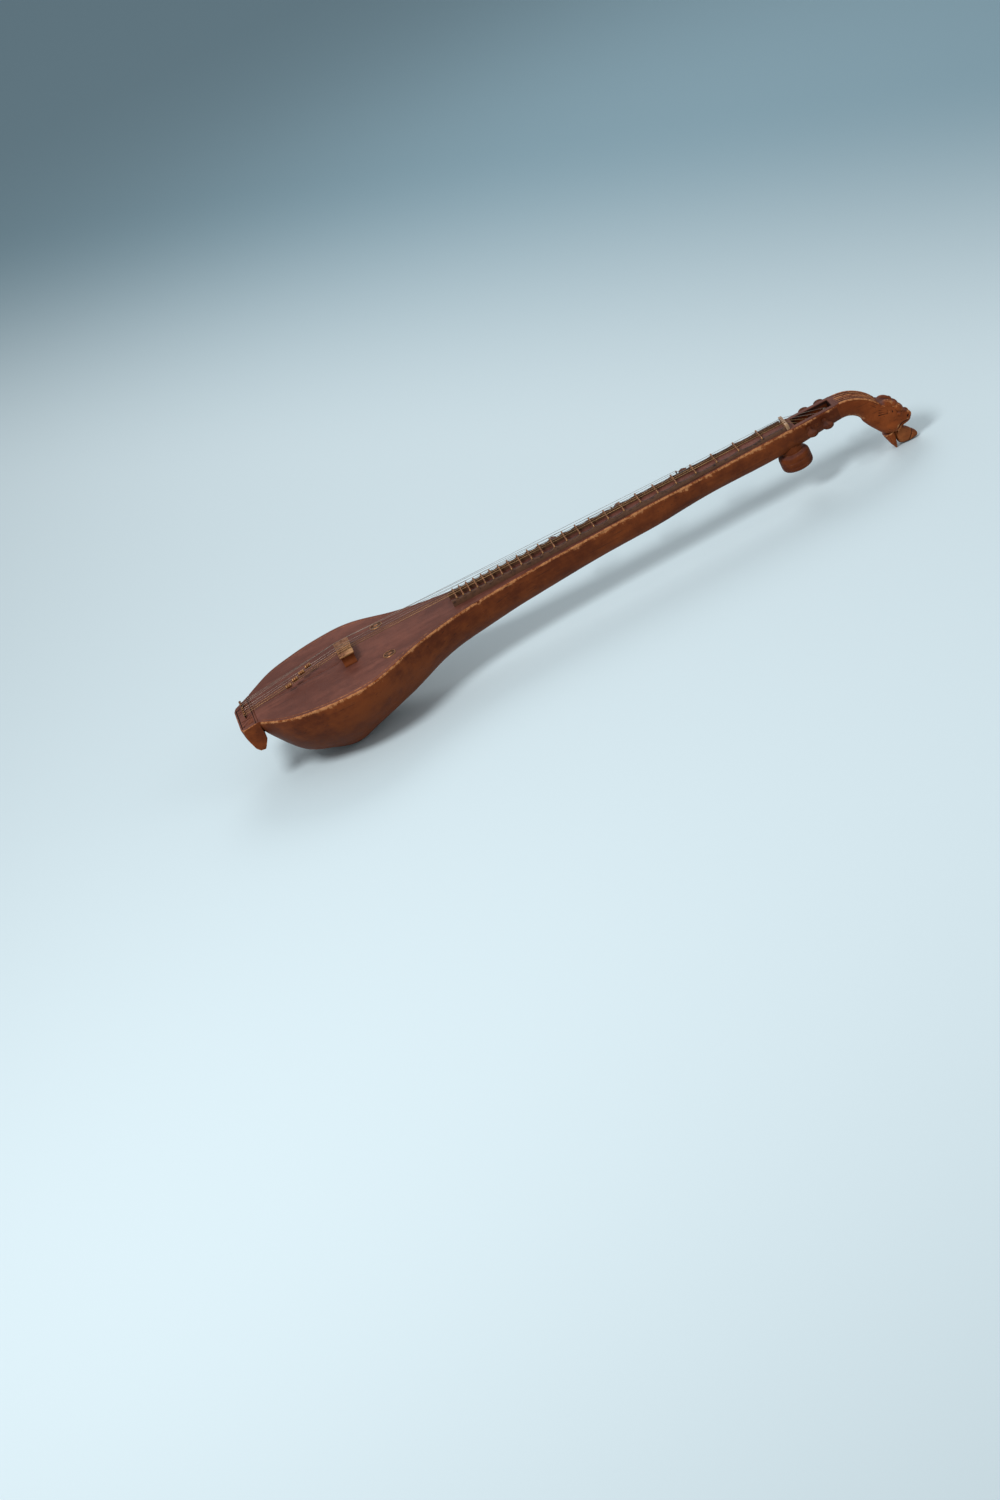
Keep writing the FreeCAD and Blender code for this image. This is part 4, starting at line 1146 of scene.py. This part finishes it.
def make_drone_bridge():
    """A curved brass strip with rolled edges that the drone strings cross."""
    low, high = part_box("drone_bridge")
    bend = [math.pi / 2 * i / 18 for i in range(19)]
    rows = [(DRONE_ARCH, a) for a in bend] + [(DRONE_ARCH - DRONE_STRIP, a) for a in bend[::-1]]
    outline = [Vector((low.x, low.y + r * MM * math.sin(a), TOP + r * MM * math.cos(a)))
               for r, a in rows]
    return mark_wear(as_mesh(bevelled(extruded(outline, ALONG * (high.x - low.x)), 0.5, 2, 50)),
                     3, 0.25)


STRING_RADII = (0.55, 0.45, 0.35, 0.30)     # of the main strings, from the player's side, in mm
STRING_GAP = 7.5
NUT_TALL = 11.0


def make_nut():
    """An upright plate with a notch for each main string."""
    low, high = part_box("nut")
    outline = [(low.y / MM, 0), (low.y / MM, 8.6), (-22.2, 10.2), (-20.8, 10.9)]
    for i, radius in enumerate(STRING_RADII):
        y = (i - 1.5) * STRING_GAP
        outline += [(y - 1.1, NUT_TALL), (y - 0.9 * radius, NUT_TALL - radius * 0.2),
                    (y, NUT_TALL - radius * 0.5), (y + 0.9 * radius, NUT_TALL - radius * 0.2),
                    (y + 1.1, NUT_TALL)]
    outline += [(20.8, 10.9), (22.2, 10.2), (high.y / MM, 8.6), (high.y / MM, 0)]
    corners = [Vector((low.x, y * MM, TOP + z * MM)) for y, z in outline]
    return mark_wear(as_mesh(bevelled(extruded(corners, ALONG * (high.x - low.x)), 0.5, 2, 50)),
                     3, 0.25)


def make_frets():
    """Brass rods with rounded ends, rubbed bright along their tops."""
    half, r = 22.0, 1.6
    end = [(0, -half), (0.8, -half + 0.1), (1.35, -half + 0.6), (r, -half + 1.5)]
    profile = end + [(r, y) for y in (-15, -7.5, 0, 7.5, 15)] + [(a, -b) for a, b in end[::-1]]
    return joined_turnings(turned(profile, (low + high) / 2, ACROSS, 24)
                           for low, high in islands("frets"))


LEDGE_FALL = 5.5                # how much lower a ledge is at the last fret than at the first
LEDGE_SAG = 2.6                 # the deepest thumb hollow between two frets, in mm


def make_ledge(node):
    """Wax pressed up to each fret and hollowed by the thumb between them."""
    low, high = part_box(node)
    middle = (low.y + high.y) / 2 / MM
    frets = [(a.x + b.x) / 2 for a, b in islands("frets")]
    tall_start = (high.z - TOP) / MM
    tall_end = tall_start - 0.97 * LEDGE_FALL * (high.x - low.x) / (frets[-1] - frets[0])
    rings = []
    for x in spread_over(low.x, high.x, 2.2 * MM):
        share = (x - low.x) / (high.x - low.x)
        tall = tall_start + (tall_end - tall_start) * share
        before = max([f for f in frets if f <= x], default=None)
        after = min([f for f in frets if f > x], default=None)
        sag = 1.2
        if before is not None and after is not None:
            gap = (after - before) / MM
            bow = math.sin(math.pi * (x - before) / (after - before)) ** 0.7
            sag = min(LEDGE_SAG, 0.12 * gap) * bow
        wave = noise.noise(Vector((x * 120, middle, 0)))
        tall -= sag + 0.3 * (1 + wave) + 0.2
        pinch = 0.25 * (1 + noise.noise(Vector((x * 90, middle, 9))))
        ring = [(3.2, 0), (3.1 - pinch, 0.4 * tall), (2.9 - pinch, 0.75 * tall),
                (2.45 - pinch, 0.92 * tall), (1.5, tall), (0.5, tall + 0.12)]
        ring = ring + [(-y, z) for y, z in ring[::-1]]
        rings.append([Vector((x, (middle + y) * MM, TOP + z * MM)) for y, z in ring])
    return mark_wear(as_mesh(drawn(rings)), 4, 0.3)


new_piece("bridge_block", make_bridge(), "bridge", replaces=["bridge"])
new_piece("bridge_cap", make_bridge_plate(), "brass", replaces=["bridge_plate"])
new_piece("drone_arch", make_drone_bridge(), "brass", replaces=["drone_bridge"])
new_piece("nut_plate", make_nut(), "horn", replaces=["nut"])
new_piece("fret_rods", mark_wear(make_frets(), 3, 0.2), "fret", replaces=["frets"])
new_piece("wax_near", make_ledge("fret_ledge_near"), "wax",
          replaces=["fret_ledge_near"])
new_piece("wax_far", make_ledge("fret_ledge_far"), "wax",
          replaces=["fret_ledge_far"])


# ---------------------------------------------------------------- pins, posts and rosettes
def make_pins():
    """Brass pins with a round head over a thin neck."""
    parts = []
    for low, high in islands("string_pins"):
        tall = (high.z - low.z) / MM
        profile = [(0, 0), (1.1, 0), (1.5, 0.6), (1.5, tall - 1.9), (2.2, tall - 1.6),
                   (2.5, tall - 1.2), (2.5, tall - 0.9), (2.0, tall - 0.4), (1.1, tall - 0.05),
                   (0, tall)]
        middle = (low + high) / 2
        parts.append(turned(profile, Vector((middle.x, middle.y, low.z)), UP, 24))
    return joined_turnings(parts)


def make_posts():
    """Thin posts with a grooved head that a drone string rests on."""
    parts = []
    for low, high in islands("drone_posts"):
        tall = (high.z - low.z) / MM
        profile = [(0, 0), (1.6, 0), (1.6, 1.0), (1.25, 1.5), (1.25, tall - 2.2),
                   (1.6, tall - 1.7), (1.6, tall - 1.1), (1.2, tall - 0.7), (0.9, tall - 0.35),
                   (0.5, tall - 0.3), (0, tall - 0.3)]
        middle = (low + high) / 2
        parts.append(turned(profile, Vector((middle.x, middle.y, low.z)), UP, 24))
    return joined_turnings(parts)


def make_rosettes():
    """Pierced brass discs with a raised rim and a boss."""
    parts, holes = [], []
    for low, high in islands("sound_rosettes"):
        middle = (low + high) / 2
        base = Vector((middle.x, middle.y, low.z))
        profile = [(0, 0), (11.9, 0), (12, 0.5), (11.5, 1.1), (10.9, 1.2), (10.3, 1.0),
                   (9.9, 0.55), (4.6, 0.55), (4.2, 0.95), (3.4, 1.15), (1.6, 1.2), (0, 1.2)]
        parts.append(turned(profile, base, UP, 64))
        for i in range(16):
            way = Vector((math.cos(math.tau * i / 16), math.sin(math.tau * i / 16), 0))
            holes.append(cylinder(base + way * 7.2 * MM, UP, 0.7 if i % 2 else 1.3, 6, 20))
    return cut_away(joined_turnings(parts), holes)


new_piece("pins", mark_wear(make_pins(), 2, 0.25), "brass",
          replaces=["string_pins"])
new_piece("posts", mark_wear(make_posts(), 2, 0.25), "brass",
          replaces=["drone_posts"])
new_piece("rosettes", mark_wear(make_rosettes(), 2, 0.2), "brass",
          replaces=["sound_rosettes"])


# ---------------------------------------------------------------- pegs, windings and beads
PEG_REACH = 37.0                # from collar to tip of the peg that the outline is made for, in mm


def make_peg(node, shaft, head, reach):
    """A turned peg whose head is flattened and hollowed on both faces for the fingers. Reach is
    from its collar to its tip."""
    low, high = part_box(node)
    side = 1 if high.y > -low.y else -1
    tip = max(high.y, -low.y) / MM
    inner = -min(high.y, -low.y) / MM
    collar = tip - reach
    k = reach / PEG_REACH
    stem = [(0, inner), (shaft - 0.4, inner), (shaft, inner + 0.6), (shaft, collar - 0.02)]
    collar_rows = [(1.42, 0), (1.55, 0.5), (1.55, 2.1), (1.42, 2.7), (1.18, 3.1), (1.10, 3.8),
                   (1.30, 4.6), (1.40, 5.2), (1.30, 5.8), (1.08, 6.6), (1.02, 8.0), (1.10, 9.4)]
    head_rows = [(0.52, 11.2), (0.68, 13.6), (0.84, 17.0), (0.95, 20.5), (1.0, 23.6),
                 (0.985, 26.5), (0.90, 29.4), (0.74, 31.8), (0.52, 33.2), (0.36, 33.9),
                 (0.32, 34.5), (0.37, 35.2), (0.34, 36.1), (0.20, 36.8), (0, 37.0)]
    profile = stem + [(shaft * r, collar + d * k) for r, d in collar_rows]
    profile += [(head * r, collar + d * k) for r, d in head_rows]
    middle = (low + high) / 2
    centre = Vector((middle.x, 0, middle.z))
    bm = turned(profile, centre, ACROSS * side, 40)
    for vert in bm.verts:
        out = side * vert.co.y / MM - collar
        flat = min(max((out / k - 9.4) / 6, 0), 1)
        flat = flat * flat * (3 - 2 * flat)
        away = vert.co - centre
        off_middle = ((out / k - 23.5) / 6) ** 2 + (away.x / (0.55 * head * MM)) ** 2
        dish = 1 - 0.30 * math.exp(-off_middle)
        vert.co.z = centre.z + away.z * (1 + (0.5 * dish - 1) * flat)
    return mark_wear(as_mesh(bm), 2, 1.4)


def make_winding(node, shaft, radius):
    """Close turns of string round a peg's shaft."""
    low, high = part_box(node)
    width = (high.y - low.y) / MM
    count = int(width / (2 * radius))
    pitch = width / count
    outer = (high.z - low.z) / 2 / MM
    profile = [(shaft - 0.1, -width / 2)]
    for i in range(count):
        along = -width / 2 + (i + 0.5) * pitch
        for angle in (8, 45, 90, 135, 172):
            a = math.radians(angle)
            profile.append((outer - radius + radius * math.sin(a), along - pitch / 2 * math.cos(a)))
    profile.append((shaft - 0.1, width / 2))
    return as_mesh(turned(profile + profile[:1], (low + high) / 2, ACROSS, 36))


def make_bead(node, bore):
    """A small ringed bead with a bore for its string."""
    middle, way = middle_and_way(node)
    end = [(bore, -6), (2.4, -6), (3.1, -5.7), (3.7, -5.0), (4.0, -4.1), (3.9, -3.3),
           (3.3, -2.8), (3.2, -2.4), (3.6, -1.6), (3.9, -0.7), (4.0, 0)]
    profile = end + [(r, -d) for r, d in end[-2::-1]]
    return mark_wear(as_mesh(turned(profile + profile[:1], middle, way, 32)), 3, 0.25)


for i, radius in enumerate(STRING_RADII, 1):
    body = f"tuning_peg_{i}"
    metal, slot = ("bronze_wire", "bronze_string") if i < 3 else ("steel_wire", "steel_string")
    new_piece(f"peg_{i}", make_peg(f"main_peg_{i}", MAIN_SHAFT, 10, PEG_REACH), "peg",
              body, [f"main_peg_{i}"])
    new_piece(f"turns_{i}", make_winding(f"main_winding_{i}", MAIN_SHAFT, radius), metal,
              body, [f"main_winding_{i}"])
    new_piece(f"bead_{i}", make_bead(f"fine_tuner_{i}", radius + 0.06), "brass",
              f"tuning_bead_{i}", [f"fine_tuner_{i}"])
for i in (1, 2, 3):
    body = f"drone_tuning_peg_{i}"
    new_piece(f"drone_knob_{i}", make_peg(f"drone_peg_{i}", DRONE_SHAFT, 8.5, 35.5), "peg",
              body, [f"drone_peg_{i}"])
    new_piece(f"drone_turns_{i}", make_winding(f"drone_winding_{i}", DRONE_SHAFT, 0.30),
              "steel_wire", body, [f"drone_winding_{i}"])


# ---------------------------------------------------------------- upper resonator
def make_resonator():
    """A turned cup with two cut lines round it, hung under the neck."""
    low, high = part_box("upper_resonator")
    middle = (low + high) / 2
    rim = (high.z - low.z) / MM
    profile = [(4.2, 0), (20.2, 0), (21, 0.5), (22.6, 1.1), (26.4, 2.9), (28.3, 5.8), (29, 9),
               (29, 12.2), (28.5, 12.6), (28.4, 13.2), (28.5, 13.8), (29, 14.2), (29, 18),
               (29, 21.2), (28.5, 21.6), (28.4, 22.2), (28.5, 22.8), (29, 23.2), (28.9, 25.5),
               (28.3, 28.3), (27.2, rim - 0.3), (26.4, rim), (25.4, rim - 0.2), (25, rim - 0.8),
               (25, 10), (22, 6), (15, 4.1), (4.2, 4)]
    top = Vector((middle.x, middle.y, high.z))
    return as_mesh(turned(profile + profile[:1], top, -UP, 72))


def make_resonator_cover():
    """A round cover with rings cut into it."""
    low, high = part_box("resonator_cover")
    middle = (low + high) / 2
    profile = [(0, 0), (24.9, 0), (24.9, 1.8), (24.4, 2), (21.2, 2), (20.6, 1.5), (19.6, 1.5),
               (19.0, 2), (8.2, 2), (7.6, 1.5), (6.6, 1.5), (6.0, 2), (2.0, 2), (1.4, 1.6),
               (0, 1.6)]
    return as_mesh(turned(profile, Vector((middle.x, middle.y, high.z)), -UP, 64))


new_piece("resonator_cup", mark_wear(make_resonator(), 2, 1.0), "resonator",
          replaces=["upper_resonator"])
new_piece("resonator_lid", mark_wear(make_resonator_cover(), 3, 0.3), "resonator",
          replaces=["resonator_cover"])
new_piece("resonator_neck", mark_wear(remeshed(merged_copy("resonator_collar"), 0.7, 3), 6, 0.4),
          "resonator", replaces=["resonator_collar"])

# ---------------------------------------------------------------- plain nodes
KEPT = {"soundboard_braces": "raw", "peg_blocks": "raw", "resonator_stud": "steel_wire",
        "main_string_1": "bronze_wire", "main_string_2": "bronze_wire",
        **{f"main_string_{i}": "steel_wire" for i in (3, 4)},
        **{f"drone_string_{i}": "steel_wire" for i in (1, 2, 3)}}
for node, finish in KEPT.items():
    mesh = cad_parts[node].data
    mesh.materials.clear()
    mesh.materials.append(MATERIALS[finish])


# ---------------------------------------------------------------- stage and light
# The floor is one plain colour, painted from pale near the instrument to a painted shade far behind
# it.
FLOOR_PALE = (0.63, 0.745, 0.79)
FLOOR_SHADED = (0.25, 0.375, 0.44)         # its tone far behind the instrument
SKY_PALE = (0.93, 0.97, 1.0, 1)
# Each softbox: its place from the instrument's middle and its breadth, in metres, and its power.
SOFTBOXES = (((-1.6, -1.6, 2.9), 1.2, 75), ((2.4, -2.0, 1.6), 1.8, 16), ((0.5, 2.4, 2.2), 2.0, 26))


def make_stage():
    """A pale floor, painted darker away from the instrument as painted shade, under soft lamps and
    a pale sky.
    """
    bm = bmesh.new()
    bmesh.ops.create_grid(bm, x_segments=1, y_segments=1, size=30)
    mesh = as_mesh(bm, "floor")
    pale = Finish("pale_floor", Roughness=0.9, Specular_IOR_Level=0.1)
    # Painted shade: the floor's colour darkens towards the far side, as if the light fell off
    # there.
    back = pale.along() * 0.47 + pale.across() * 0.40
    tint = pale.blend(pale.ramp(back, 0.55, 1.45), FLOOR_PALE, FLOOR_SHADED)
    mesh.materials.append(pale.finished(tint))
    floor = bpy.data.objects.new("floor", mesh)
    bpy.context.scene.collection.objects.link(floor)
    world = bpy.data.worlds.new("sky")
    world.use_nodes = True
    sky = world.node_tree.nodes["Background"]
    sky.inputs["Color"].default_value = SKY_PALE
    sky.inputs["Strength"].default_value = 0.42
    bpy.context.scene.world = world
    centre = (cad_low + cad_high) / 2
    for offset, breadth, power in SOFTBOXES:
        lamp = bpy.data.lights.new("softbox", "AREA")
        lamp.energy = power
        lamp.shape = "DISK"
        lamp.size = breadth
        holder = bpy.data.objects.new("softbox", lamp)
        holder.location = centre + Vector(offset)
        holder.rotation_euler = (-Vector(offset)).to_track_quat("-Z", "Y").to_euler()
        bpy.context.scene.collection.objects.link(holder)


make_stage()
make_camera()
bpy.context.scene.view_settings.view_transform = "Standard"
